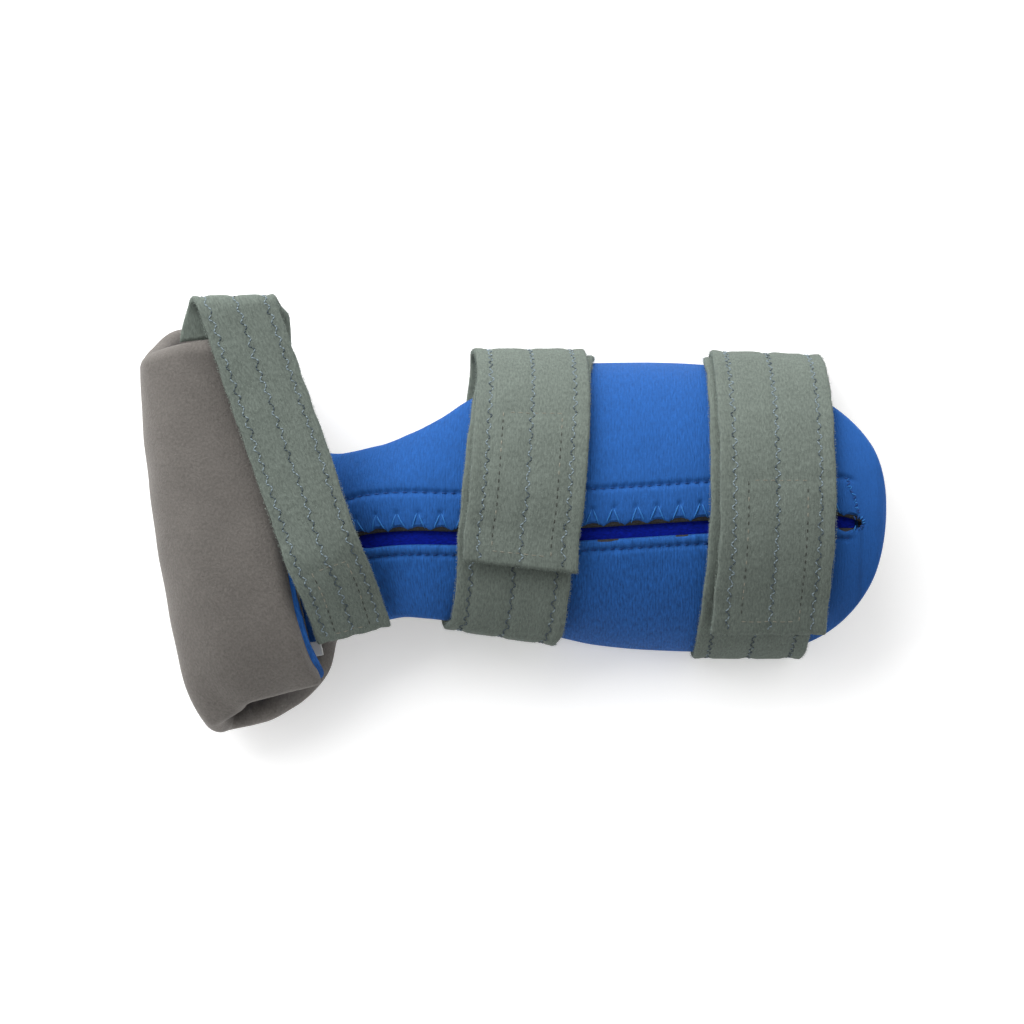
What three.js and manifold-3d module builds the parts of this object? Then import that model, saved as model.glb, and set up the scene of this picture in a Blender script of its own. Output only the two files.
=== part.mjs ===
// Resting hand splint with a curled grip, lying on its straps with the hollow side down.
// Millimetres, +Z up, +X towards the elbow, +Y towards the thumb.
import * as THREE from "three";
import Module from "manifold-3d";

const wasm = await Module();
wasm.setup();

// Cover and lining
const SHEET_THICK = 8.6;
const HALF_THICK = SHEET_THICK / 2;
const LAYER_GAP = 0.3;
const ELBOW_TIP = new THREE.Vector3(123.9, 2, 42.5);
const START_PITCH = -2.5;
const ELBOW_ROUND_LITTLE = 37;
const ELBOW_ROUND_THUMB = 70;
const FREE_CORNER = 3.5;
const COVER_PAST_LINING = 1.7;
const FACE_POINTS = 11;
const LINING_RIM_POINTS = 6;
const COVER_RIM_POINTS = 5;
const COVER_FACE_SHARE = 0.66;
const WALK_STEP = 0.25;

// Middle line from the elbow end to the free edge of the grip: length, turn upwards, turn sideways in degrees
const RUNS = [
  { name: "forearm", length: 149, turn: 0, yaw: 0 },
  { name: "wrist", length: 24, turn: -26.2, yaw: 9.3 },
  { name: "palm", length: 46.35, turn: 0, yaw: 0 },
  { name: "grip", length: 69.2, turn: 208.7, yaw: 0 },
  { name: "fingers", length: 22.6, turn: 0, yaw: 3 },
];
const SPINE_LENGTH = RUNS.reduce((sum, run) => sum + run.length, 0);

// Sections across the sheet: distance along, reach to each rim, fall of the rims, arc angle,
// and how far the lining wraps over each rim from its middle
const SECTIONS = [
  { along: 0, thumb: 45, little: 45, drop: 35.7, arc: 80, wrapThumb: 0, wrapLittle: 0 },
  { along: 60, thumb: 45, little: 46, drop: 33.1, arc: 80, wrapThumb: 0, wrapLittle: 0 },
  { along: 79, thumb: 45.4, little: 45.4, drop: 32.3, arc: 80, wrapThumb: 0, wrapLittle: 0 },
  { along: 96, thumb: 45.2, little: 43.8, drop: 31.5, arc: 80, wrapThumb: 0, wrapLittle: 0 },
  { along: 107, thumb: 44, little: 41.5, drop: 30.4, arc: 79, wrapThumb: 0, wrapLittle: 0 },
  { along: 119, thumb: 40, little: 37.8, drop: 24.5, arc: 73, wrapThumb: 0, wrapLittle: 0 },
  { along: 130, thumb: 35.5, little: 36, drop: 17.5, arc: 64, wrapThumb: 0, wrapLittle: 0 },
  { along: 139, thumb: 31.8, little: 35.2, drop: 14, arc: 58, wrapThumb: 4, wrapLittle: 0 },
  { along: 149, thumb: 25.2, little: 34.2, drop: 11, arc: 52, wrapThumb: 0, wrapLittle: 0 },
  { along: 158, thumb: 20.8, little: 33.6, drop: 9.5, arc: 48, wrapThumb: 0, wrapLittle: 0 },
  { along: 170, thumb: 17.4, little: 32.8, drop: 8, arc: 42, wrapThumb: 0, wrapLittle: 0 },
  { along: 183, thumb: 16.8, little: 33.4, drop: 6.5, arc: 38, wrapThumb: 0, wrapLittle: 0 },
  { along: 191, thumb: 18.4, little: 34.4, drop: 5.5, arc: 35, wrapThumb: 1, wrapLittle: 1 },
  { along: 195, thumb: 25, little: 35.8, drop: 5, arc: 33, wrapThumb: 3, wrapLittle: 2.5 },
  { along: 199, thumb: 43, little: 38.4, drop: 4.5, arc: 32, wrapThumb: 7, wrapLittle: 6 },
  { along: 203, thumb: 54.5, little: 47.6, drop: 4, arc: 30, wrapThumb: 11, wrapLittle: 12 },
  { along: 207, thumb: 60, little: 52.4, drop: 3.4, arc: 30, wrapThumb: 13, wrapLittle: 17 },
  { along: 212, thumb: 64.5, little: 57.2, drop: 2.6, arc: 30, wrapThumb: 14, wrapLittle: 20 },
  { along: 220, thumb: 68, little: 60.6, drop: 1.4, arc: 30, wrapThumb: 14, wrapLittle: 22 },
  { along: 235, thumb: 68.7, little: 62, drop: 0.2, arc: 30, wrapThumb: 14, wrapLittle: 22 },
  { along: 250, thumb: 63, little: 60.4, drop: -3.2, arc: 30, wrapThumb: 14, wrapLittle: 17 },
  { along: 262, thumb: 59, little: 56.5, drop: -3.8, arc: 30, wrapThumb: 14, wrapLittle: 15 },
  { along: 275, thumb: 59.6, little: 54.8, drop: -1, arc: 30, wrapThumb: 14, wrapLittle: 15 },
  { along: 288, thumb: 60.4, little: 52.6, drop: 0.2, arc: 30, wrapThumb: 14, wrapLittle: 15 },
  { along: 294, thumb: 60.4, little: 52, drop: 0.2, arc: 30, wrapThumb: 6, wrapLittle: 6 },
  { along: 300, thumb: 60.2, little: 51.5, drop: 0.2, arc: 30, wrapThumb: 0, wrapLittle: 0 },
  { along: 312.6, thumb: 60, little: 51, drop: 0.2, arc: 30, wrapThumb: 0, wrapLittle: 0 },
];

// How far the little finger's rim curls in over the hollow of the grip
const LITTLE_CURL = [
  { along: 199, rise: 0 },
  { along: 206, rise: 0.5 },
  { along: 220, rise: 9 },
  { along: 235, rise: 7 },
  { along: 247, rise: -1.4 },
  { along: 262, rise: -1.4 },
  { along: 275, rise: 6.5 },
  { along: 288, rise: 8.5 },
];

// How far the free edge runs on at distances across, with its corner drawn out at the little finger
const FREE_FLARE = [
  { across: -56, shift: 4 },
  { across: -52, shift: 1.6 },
  { across: -48, shift: -0.3 },
  { across: -43, shift: -1.2 },
  { across: -30, shift: -2 },
  { across: -14, shift: -1.2 },
  { across: 0, shift: 0 },
];
const FLARE_START = 286;

// Stations of the sheet: where each stretch ends and how many steps it takes
const ELBOW_STATIONS = [0.25, 1, 2.4, 4.6, 8, 13, 20, 29, 38, 46];
const STRETCHES = [
  { end: 102, steps: 4 },
  { end: 134, steps: 4 },
  { end: 189, steps: 9 },
  { end: 209, steps: 8 },
  { end: 220, steps: 2 },
  { end: 288, steps: 14 },
  { end: 306, steps: 3 },
];
const FREE_EDGE_DEPTHS = [3.4, 1.9, 0.8, 0.2];

// Closure slit: distance along, middle and width of the opening, measured across the crown
const SLIT = [
  { along: 7.5, middle: -5.6, width: 0.8 },
  { along: 10, middle: -5.2, width: 3.4 },
  { along: 17, middle: -4.5, width: 4.8 },
  { along: 60, middle: -6.2, width: 5.1 },
  { along: 100, middle: -8.4, width: 5 },
  { along: 141, middle: -9.8, width: 5.3 },
  { along: 173, middle: -9, width: 5.6 },
  { along: 180, middle: -8.9, width: 4 },
  { along: 183, middle: -8.9, width: 0.8 },
];
const SLIT_STEPS = 19;
const SLIT_POINTS = 4;
const SLIT_FLOOR = -1.5;
const SLIT_ROOF = HALF_THICK + 2;
const STRIP_HALF_WIDTH = 8.5;
const STRIP_BOTTOM = 0.3;
const STRIP_TOP = 1.7;
const STRIP_PAST_SLIT = 2;
const STRIP_CLEARANCE = 0.3;

// Straps
const STRAP_THICK = 2.2;
const STRAP_GAP = 0.3;
const STRAP_EDGE = 0.6;
const LAYER_STEP = STRAP_THICK + STRAP_GAP;
const WIDE_STRAP = 38.1;
const STRIP_MARGIN = 8;
const HULL_STEP = 2;
const FACE_SAMPLES = 81;
const RIM_SAMPLES = 15;
const PSI_STEP = 8;
const UNDERNEATH = -180;
const UNDER_SPAN = 1;

// How far the free end of each wide strap is cut back from its last direction
const WRIST_TRIM = 3.6;
const FOREARM_TRIM = 1.2;

// Turns of each wide strap about the forearm: direction in degrees from straight up towards the thumb,
// middle of the strap, sideways lean and number of layers beneath
const WRIST_TURNS = [
  { psi: 96, middle: 9.5, lean: 1, beneath: 0 },
  { psi: 0, middle: 2.5, lean: 4, beneath: 0 },
  { psi: -60, middle: -3, lean: 8.7, beneath: 0 },
  { psi: -179.9, middle: -6, lean: 8.7, beneath: 0 },
  { psi: -180.1, middle: 3, lean: 2, beneath: 0 },
  { psi: -250, middle: 4.6, lean: 0, beneath: 1 },
  { psi: -315, middle: 7.2, lean: 1, beneath: 1 },
  { psi: -360, middle: 4.8, lean: 4, beneath: 1 },
  { psi: -377, middle: 2.8, lean: 6.4, beneath: 1 },
];
const FOREARM_TURNS = [
  { psi: 96, middle: 85.1, lean: 2, beneath: 0 },
  { psi: 0, middle: 84.3, lean: 0, beneath: 0 },
  { psi: -60, middle: 81.5, lean: 0, beneath: 0 },
  { psi: -179.9, middle: 80.7, lean: 0, beneath: 0 },
  { psi: -180.1, middle: 85, lean: 0, beneath: 0 },
  { psi: -250, middle: 87.4, lean: 2.5, beneath: 1 },
  { psi: -360, middle: 87.3, lean: 0, beneath: 1 },
  { psi: -409, middle: 85.7, lean: 0, beneath: 1 },
];

// Middle line of the hand strap from the rim of the grip, with its width and the turn and tilt across it
const HAND_PATH = [
  { x: -91.6, y: 59, z: 41.3, width: 37.4, yaw: 8, bank: 3 },
  { x: -91.6, y: 63.4, z: 41.6, width: 35.6, yaw: 6, bank: 2 },
  { x: -92, y: 67.8, z: 42.2, width: 31, yaw: 2, bank: 1 },
  { x: -92, y: 70.6, z: 45, width: 28, yaw: 1, bank: 0 },
  { x: -90.6, y: 68.8, z: 47.8, width: 26, yaw: 6, bank: 0 },
  { x: -88.2, y: 62, z: 48.6, width: 25.4, yaw: 15, bank: 0 },
  { x: -80, y: 38, z: 48.7, width: 25.4, yaw: 19, bank: 0 },
  { x: -72.2, y: 16, z: 48.8, width: 25.4, yaw: 19, bank: 0 },
  { x: -65.8, y: -3, z: 49, width: 25.4, yaw: 19, bank: 0 },
  { x: -62, y: -14, z: 48.3, width: 25.4, yaw: 19, bank: -6 },
  { x: -57.2, y: -26, z: 42, width: 25.4, yaw: 18, bank: -15 },
  { x: -53.8, y: -39.4, z: 29, width: 25.4, yaw: 14, bank: -13 },
];
const HAND_STEPS = 40;

// Care label on the lip of the lining
const LABEL_SIZE = new THREE.Vector3(8, 5, 0.5);
const LABEL_ALONG = 203;
const LABEL_ACROSS = -0.88;
const LABEL_LIFT = 1.6;

const FINISHES = {
  outer_cover: { color: 0x3568b4, roughness: 0.85, metalness: 0 },
  lining: { color: 0x7d7975, roughness: 0.9, metalness: 0 },
  closure_strip: { color: 0x14148c, roughness: 0.9, metalness: 0 },
  strap: { color: 0x717a73, roughness: 0.95, metalness: 0 },
  care_label: { color: 0xe4e4e0, roughness: 0.7, metalness: 0 },
};

const { degToRad, lerp, clamp } = THREE.MathUtils;

// Value of a table column at a place, by a smooth curve that does not overshoot its rows.
function tableAt(rows, key, column, place) {
  const spot = clamp(place, rows[0][key], rows[rows.length - 1][key]);
  let row = 0;
  while (row < rows.length - 2 && spot > rows[row + 1][key]) row += 1;
  const span = rows[row + 1][key] - rows[row][key];
  const share = (spot - rows[row][key]) / span;
  const start = slopeAt(rows, key, column, row) * span;
  const end = slopeAt(rows, key, column, row + 1) * span;
  const square = share * share;
  const cube = square * share;
  return (
    (2 * cube - 3 * square + 1) * rows[row][column] +
    (cube - 2 * square + share) * start +
    (3 * square - 2 * cube) * rows[row + 1][column] +
    (cube - square) * end
  );
}

// Slope of a table column at one of its rows.
function slopeAt(rows, key, column, row) {
  const rise = (i) => (rows[i + 1][column] - rows[i][column]) / (rows[i + 1][key] - rows[i][key]);
  if (row === 0 || row === rows.length - 1) return 0;
  const before = rise(row - 1);
  const after = rise(row);
  return before * after <= 0 ? 0 : (2 * before * after) / (before + after);
}

// Directions of the middle line for a pitch and a yaw: heading, towards the thumb, out of the cover.
function directions(pitch, yaw) {
  const level = Math.cos(pitch);
  const heading = new THREE.Vector3(-level * Math.cos(yaw), -level * Math.sin(yaw), Math.sin(pitch));
  const thumbward = new THREE.Vector3(-Math.sin(yaw), Math.cos(yaw), 0);
  const outward = new THREE.Vector3().crossVectors(thumbward, heading);
  return { heading, thumbward, outward };
}

// Points of the middle line with pitch and yaw, a short step apart.
function walkSpine() {
  const points = [];
  const origin = ELBOW_TIP.clone();
  let pitch = degToRad(START_PITCH);
  let yaw = 0;
  for (const run of RUNS) {
    const steps = Math.round(run.length / WALK_STEP);
    const step = run.length / steps;
    const turn = degToRad(run.turn) / steps;
    const sway = degToRad(run.yaw) / steps;
    for (let i = 0; i < steps; i += 1) {
      points.push({ origin: origin.clone(), pitch, yaw });
      origin.addScaledVector(directions(pitch + turn / 2, yaw + sway / 2).heading, step);
      pitch += turn;
      yaw += sway;
    }
  }
  points.push({ origin: origin.clone(), pitch, yaw });
  return points;
}

const SPINE = walkSpine();

// Origin and directions of the middle line at a distance along it.
function spineAt(along) {
  const place = clamp(along / SPINE_LENGTH, 0, 1) * (SPINE.length - 1);
  const low = Math.min(Math.floor(place), SPINE.length - 2);
  const share = place - low;
  const origin = SPINE[low].origin.clone().lerp(SPINE[low + 1].origin, share);
  const pitch = lerp(SPINE[low].pitch, SPINE[low + 1].pitch, share);
  const yaw = lerp(SPINE[low].yaw, SPINE[low + 1].yaw, share);
  return { origin, ...directions(pitch, yaw) };
}

// Height of a round edge as a share of its full height, at a depth inside the edge.
function roundShare(depth, radius) {
  const inside = 1 - clamp(depth / radius, 0, 1);
  return Math.sqrt(1 - inside * inside);
}

// One side of a section: reach, fall and arc, drawn in at the round elbow end and at the free corners.
function sideOf(along, end, column, roundLength) {
  const fullReach = tableAt(SECTIONS, "along", column, along);
  const corner = FREE_CORNER * (1 - roundShare(end - along, FREE_CORNER));
  const share = roundShare(along, roundLength) - corner / fullReach;
  const fullArc = degToRad(tableAt(SECTIONS, "along", "arc", along));
  const arc = Math.asin(Math.sin(fullArc) * share);
  const curl = column === "little" ? tableAt(LITTLE_CURL, "along", "rise", along) : 0;
  const fullDrop = tableAt(SECTIONS, "along", "drop", along) - curl;
  const drop = (fullDrop * (1 - Math.cos(arc))) / (1 - Math.cos(fullArc));
  return { reach: fullReach * share, drop, arc };
}

// Everything needed to place points of the sheet at a distance along it, for a layer that ends at a distance.
function sectionAt(along, end) {
  const depth = Math.min(along, end - along);
  return {
    ...spineAt(along),
    half: HALF_THICK * roundShare(depth, HALF_THICK),
    gap: LAYER_GAP / 2,
    thumb: sideOf(along, end, "thumb", ELBOW_ROUND_THUMB),
    little: sideOf(along, end, "little", ELBOW_ROUND_LITTLE),
    wrapThumb: tableAt(SECTIONS, "along", "wrapThumb", along),
    wrapLittle: tableAt(SECTIONS, "along", "wrapLittle", along),
    flare: clamp((along - FLARE_START) / (SPINE_LENGTH - FLARE_START), 0, 1),
  };
}

// Middle surface at a share of the way to a rim, from -1 at the little finger to 1 at the thumb.
function middleAt(section, share) {
  const side = share < 0 ? section.little : section.thumb;
  const sign = share < 0 ? -1 : 1;
  const angle = Math.abs(share) * side.arc;
  const wide = side.reach / Math.sin(side.arc);
  const deep = side.drop / (1 - Math.cos(side.arc));
  const tangent = new THREE.Vector2(wide * Math.cos(angle), -deep * Math.sin(angle));
  const speed = tangent.length() * side.arc;
  tangent.normalize();
  return {
    point: new THREE.Vector2(sign * wide * Math.sin(angle), -deep * (1 - Math.cos(angle))),
    tangent: new THREE.Vector2(sign * tangent.x, tangent.y),
    normal: new THREE.Vector2(-sign * tangent.y, tangent.x),
    speed,
  };
}

// Point at a share across the sheet and a height over its middle surface.
function facePoint(section, share, height) {
  const middle = middleAt(section, share);
  return middle.point.clone().addScaledVector(middle.normal, height);
}

// Point on the skin, by distance from the inner face round the rim and on over the outer face.
function skinPoint(section, sign, distance) {
  const rim = middleAt(section, sign);
  const roundLength = Math.PI * section.half;
  if (distance > roundLength) {
    const share = sign * (1 - (distance - roundLength) / rim.speed);
    return facePoint(section, share, section.half);
  }
  const angle = distance / section.half - Math.PI / 2;
  return rim.point
    .clone()
    .addScaledVector(rim.tangent, section.half * Math.cos(angle))
    .addScaledVector(rim.normal, section.half * Math.sin(angle));
}

// Where lining and cover meet on one rim: distance on the skin, and the share across below it.
function seamOf(section, sign) {
  const wrap = sign < 0 ? section.wrapLittle : section.wrapThumb;
  const quarter = (Math.PI / 2) * section.half;
  const over = Math.max(0, wrap - quarter);
  const share = 1 - over / middleAt(section, sign).speed;
  return { distance: quarter + wrap, share };
}

// Even numbers from one value to another, both included.
function spread(first, last, count) {
  return Array.from({ length: count }, (_, i) => lerp(first, last, i / (count - 1)));
}

// Outline of the lining in a section.
function liningOutline(section) {
  const thumb = seamOf(section, 1);
  const little = seamOf(section, -1);
  const meeting = spread(-little.share, thumb.share, FACE_POINTS);
  const inner = spread(1, -1, FACE_POINTS).slice(1, -1);
  const rim = (sign, seam) =>
    spread(0, seam.distance - section.gap, LINING_RIM_POINTS).map((d) => skinPoint(section, sign, d));
  return [
    ...meeting.map((share) => facePoint(section, share, -section.gap)),
    ...rim(1, thumb).reverse(),
    ...inner.map((share) => facePoint(section, share, -section.half)),
    ...rim(-1, little),
  ];
}

// Outline of the outer cover in a section.
function coverOutline(section) {
  const thumb = seamOf(section, 1);
  const little = seamOf(section, -1);
  const inset = (sign) => LAYER_GAP / middleAt(section, sign).speed;
  const meeting = spread(-little.share + inset(-1), thumb.share - inset(1), FACE_POINTS);
  const outer = spread(COVER_FACE_SHARE, -COVER_FACE_SHARE, FACE_POINTS - 2).slice(1, -1);
  const rim = (sign, seam) => {
    const last = Math.PI * section.half + (1 - COVER_FACE_SHARE) * middleAt(section, sign).speed;
    const distances = spread(seam.distance + section.gap, last, COVER_RIM_POINTS);
    return distances.map((distance) => skinPoint(section, sign, distance));
  };
  return [
    ...meeting.map((share) => facePoint(section, share, section.gap)),
    ...rim(1, thumb),
    ...outer.map((share) => facePoint(section, share, section.half)),
    ...rim(-1, little).reverse(),
  ];
}

// Point of a section in space.
function inSpace(section, flat) {
  const shift = section.flare * tableAt(FREE_FLARE, "across", "shift", flat.x);
  return section.origin
    .clone()
    .addScaledVector(section.heading, shift)
    .addScaledVector(section.thumbward, flat.x)
    .addScaledVector(section.outward, flat.y);
}

// Closed solid through rings of points; each ring has a flat outline for its end cap.
function loft(rings, firstOutline, lastOutline) {
  const count = rings[0].length;
  const positions = rings.flat().flatMap((point) => [point.x, point.y, point.z]);
  const index = [];
  for (let ring = 0; ring < rings.length - 1; ring += 1) {
    for (let i = 0; i < count; i += 1) {
      const next = (i + 1) % count;
      const near = ring * count;
      const far = near + count;
      index.push(near + i, near + next, far + next, near + i, far + next, far + i);
    }
  }
  const last = (rings.length - 1) * count;
  for (const [a, b, c] of capFaces(firstOutline)) index.push(c, b, a);
  for (const [a, b, c] of capFaces(lastOutline)) index.push(last + a, last + b, last + c);
  const geometry = new THREE.BufferGeometry();
  geometry.setAttribute("position", new THREE.Float32BufferAttribute(positions, 3));
  geometry.setIndex(index);
  return facingOut(geometry);
}

// Triangles of an end cap, turned the same way as the outline.
function capFaces(outline) {
  const turned = THREE.ShapeUtils.area(outline) < 0;
  const faces = THREE.ShapeUtils.triangulateShape(outline, []);
  const sample = faces[0].map((i) => outline[i]);
  const faceTurned = THREE.ShapeUtils.area(sample) < 0;
  return turned === faceTurned ? faces : faces.map(([a, b, c]) => [a, c, b]);
}

// Signed volume of a closed geometry.
function volumeOf(geometry) {
  const position = geometry.getAttribute("position");
  const corners = [new THREE.Vector3(), new THREE.Vector3(), new THREE.Vector3()];
  let volume = 0;
  for (let i = 0; i < geometry.index.count; i += 3) {
    corners.forEach((corner, k) => corner.fromBufferAttribute(position, geometry.index.getX(i + k)));
    volume += corners[0].dot(corners[1].clone().cross(corners[2])) / 6;
  }
  return volume;
}

// The geometry with its faces turned outwards.
function facingOut(geometry) {
  if (volumeOf(geometry) > 0) return geometry;
  const faces = geometry.index.array;
  for (let i = 0; i < faces.length; i += 3) [faces[i], faces[i + 1]] = [faces[i + 1], faces[i]];
  return geometry;
}

// Distances along the sheet at which a layer that ends at a distance has its sections.
function stationsTo(end) {
  const stations = [...ELBOW_STATIONS];
  for (const stretch of STRETCHES) {
    const start = stations[stations.length - 1];
    stations.push(...spread(start, stretch.end, stretch.steps + 1).slice(1));
  }
  return [...stations, ...FREE_EDGE_DEPTHS.map((depth) => end - depth)];
}

// A layer of the sheet from its outline in each section.
function layer(outlineOf, end) {
  const sections = stationsTo(end).map((along) => sectionAt(along, end));
  const outlines = sections.map(outlineOf);
  const rings = sections.map((section, i) => outlines[i].map((flat) => inSpace(section, flat)));
  return loft(rings, outlines[0], outlines[outlines.length - 1]);
}

// A band that follows the slit between two heights over the middle surface.
function slitBand(widthAt, bottom, top, pastEnds) {
  const first = SLIT[0].along - pastEnds;
  const last = SLIT[SLIT.length - 1].along + pastEnds;
  const rings = spread(first, last, SLIT_STEPS).map((along) => {
    const section = sectionAt(along, SPINE_LENGTH);
    const middle = tableAt(SLIT, "along", "middle", along);
    const half = widthAt(along) / 2;
    const corner = (across, height) => {
      const share = shareAcross(section, across);
      return inSpace(section, facePoint(section, share, height));
    };
    return [
      ...spread(middle - half, middle + half, SLIT_POINTS).map((across) => corner(across, bottom)),
      ...spread(middle + half, middle - half, SLIT_POINTS).map((across) => corner(across, top)),
    ];
  });
  const outline = [
    ...spread(0, 1, SLIT_POINTS).map((across) => new THREE.Vector2(across, 0)),
    ...spread(1, 0, SLIT_POINTS).map((across) => new THREE.Vector2(across, 1)),
  ];
  return loft(rings, outline, outline);
}

// Share across the sheet for a distance from the crown.
function shareAcross(section, across) {
  const side = across < 0 ? section.little : section.thumb;
  const angle = Math.asin(clamp((Math.abs(across) * Math.sin(side.arc)) / side.reach, 0, 1));
  return (Math.sign(across) * angle) / side.arc;
}

// A geometry as a solid for cutting, and back.
function toSolid(geometry) {
  return new wasm.Manifold(
    new wasm.Mesh({
      numProp: 3,
      vertProperties: new Float32Array(geometry.getAttribute("position").array),
      triVerts: new Uint32Array(geometry.index.array),
    }),
  );
}

function fromSolid(solid) {
  const mesh = solid.getMesh();
  const geometry = new THREE.BufferGeometry();
  geometry.setAttribute("position", new THREE.Float32BufferAttribute(mesh.vertProperties, 3));
  geometry.setIndex(Array.from(mesh.triVerts));
  return geometry;
}

// The outer cover with its slit, and a pocket for the strip behind it.
function outerCover() {
  const slit = slitBand((along) => tableAt(SLIT, "along", "width", along), SLIT_FLOOR, SLIT_ROOF, 0);
  const pocketWidth = 2 * (STRIP_HALF_WIDTH + STRIP_CLEARANCE);
  const pocket = slitBand(
    () => pocketWidth,
    SLIT_FLOOR,
    STRIP_TOP + STRIP_CLEARANCE,
    STRIP_PAST_SLIT + STRIP_CLEARANCE,
  );
  const cutters = toSolid(slit).add(toSolid(pocket));
  return fromSolid(toSolid(layer(coverOutline, SPINE_LENGTH)).subtract(cutters));
}

// Points of the sheet's skin under a strap, as seen by the strap when it is pulled tight.
function skinUnder(middle, width) {
  const reach = width / 2 + STRIP_MARGIN;
  const start = ELBOW_TIP.x - middle - reach;
  const points = [];
  for (let along = start; along < start + 2 * reach; along += HULL_STEP) {
    const section = sectionAt(along, SPINE_LENGTH);
    const faces = spread(-1, 1, FACE_SAMPLES).map((share) => facePoint(section, share, section.half));
    const rims = [-1, 1].flatMap((sign) =>
      spread(0, Math.PI * section.half, RIM_SAMPLES).map((d) => skinPoint(section, sign, d)),
    );
    points.push(...[...faces, ...rims].map((flat) => inSpace(section, flat)));
  }
  return points;
}

// Outline of a strap across its width, with eased edges: x across, y through.
function strapOutline(width) {
  const side = width / 2;
  const face = STRAP_THICK / 2;
  const inner = side - STRAP_EDGE;
  const low = face - STRAP_EDGE;
  const corners = [
    [inner, face],
    [side, low],
    [side, -low],
    [inner, -face],
    [-inner, -face],
    [-side, -low],
    [-side, low],
    [-inner, face],
  ];
  return corners.map(([x, y]) => new THREE.Vector2(x, y));
}

// A strap through frames of middle point, width, width direction and face direction.
function strapThrough(frames) {
  const outlines = frames.map((frame) => strapOutline(frame.width));
  const rings = frames.map((frame, i) =>
    outlines[i].map((flat) =>
      frame.middle.clone().addScaledVector(frame.across, flat.x).addScaledVector(frame.face, flat.y),
    ),
  );
  return loft(rings, outlines[0], outlines[outlines.length - 1]);
}

// Directions about the forearm in which a wide strap is placed, with both ends of its run underneath.
function psiSteps(turns) {
  const first = turns[0].psi;
  const last = turns[turns.length - 1].psi;
  const under = turns.map((row) => row.psi).filter((psi) => Math.abs(psi - UNDERNEATH) < UNDER_SPAN);
  const before = spread(first, under[0], Math.round((first - under[0]) / PSI_STEP) + 1);
  const after = spread(under[1], last, Math.round((under[1] - last) / PSI_STEP) + 1);
  return [...before, ...after];
}

// A wide strap wound about the forearm, lying on the skin or on the layer beneath.
function woundStrap(turns, trim) {
  const falling = turns.map((row) => ({ ...row, turn: -row.psi }));
  const crown = tableAt(falling, "turn", "middle", 0);
  const skin = skinUnder(crown, WIDE_STRAP);
  const frames = psiSteps(turns).map((psi) => {
    const lean = degToRad(tableAt(falling, "turn", "lean", -psi));
    const across = new THREE.Vector3(Math.cos(lean), -Math.sin(lean), 0);
    const level = new THREE.Vector3(Math.sin(lean), Math.cos(lean), 0);
    const angle = degToRad(psi);
    const face = level.multiplyScalar(Math.sin(angle)).add(new THREE.Vector3(0, 0, Math.cos(angle)));
    const isUnder = Math.abs(psi - UNDERNEATH) < UNDER_SPAN;
    const nearRim = psi > UNDERNEATH ? -1 : 1;
    const seats = isUnder ? skin.filter((point) => point.y * nearRim > 0) : skin;
    const touch = seats.reduce((best, point) => (point.dot(face) > best.dot(face) ? point : best));
    const lift = STRAP_GAP + STRAP_THICK / 2 + LAYER_STEP * tableAt(falling, "turn", "beneath", -psi);
    const middle = touch.clone().addScaledVector(face, lift);
    middle.addScaledVector(across, (tableAt(falling, "turn", "middle", -psi) - middle.x) / across.x);
    middle.z = Math.max(middle.z, STRAP_THICK / 2);
    if (isUnder) {
      middle.z = STRAP_THICK / 2;
      face.set(0, 0, -1);
    }
    return { middle, across, face, width: WIDE_STRAP };
  });
  const [before, end] = frames.slice(-2).map((frame) => frame.middle);
  end.addScaledVector(before.clone().sub(end).normalize(), trim);
  return strapThrough(frames);
}

// The hand strap along its table of points.
function handStrap() {
  const curve = new THREE.CatmullRomCurve3(
    HAND_PATH.map((row) => new THREE.Vector3(row.x, row.y, row.z)),
    false,
    "centripetal",
  );
  const rows = HAND_PATH.map((row, i) => ({ ...row, step: i / (HAND_PATH.length - 1) }));
  const frames = spread(0, 1, HAND_STEPS + 1).map((step) => {
    const yaw = degToRad(tableAt(rows, "step", "yaw", step));
    const bank = degToRad(tableAt(rows, "step", "bank", step));
    const across = new THREE.Vector3(
      Math.cos(yaw) * Math.cos(bank),
      Math.sin(yaw) * Math.cos(bank),
      Math.sin(bank),
    );
    const face = new THREE.Vector3().crossVectors(curve.getTangent(step), across).normalize();
    return { middle: curve.getPoint(step), across, face, width: tableAt(rows, "step", "width", step) };
  });
  return strapThrough(frames);
}

// The label, laid on the lip of the lining.
function careLabel() {
  const section = sectionAt(LABEL_ALONG, SPINE_LENGTH);
  const flat = facePoint(section, LABEL_ACROSS, HALF_THICK + LABEL_LIFT + LABEL_SIZE.z / 2);
  const normal = middleAt(section, LABEL_ACROSS).normal;
  const up = section.thumbward.clone().multiplyScalar(normal.x).addScaledVector(section.outward, normal.y);
  const across = new THREE.Vector3().crossVectors(up, section.heading);
  const place = new THREE.Matrix4().makeBasis(section.heading, across, up);
  place.setPosition(inSpace(section, flat));
  return new THREE.BoxGeometry(LABEL_SIZE.x, LABEL_SIZE.y, LABEL_SIZE.z).applyMatrix4(place);
}

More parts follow.
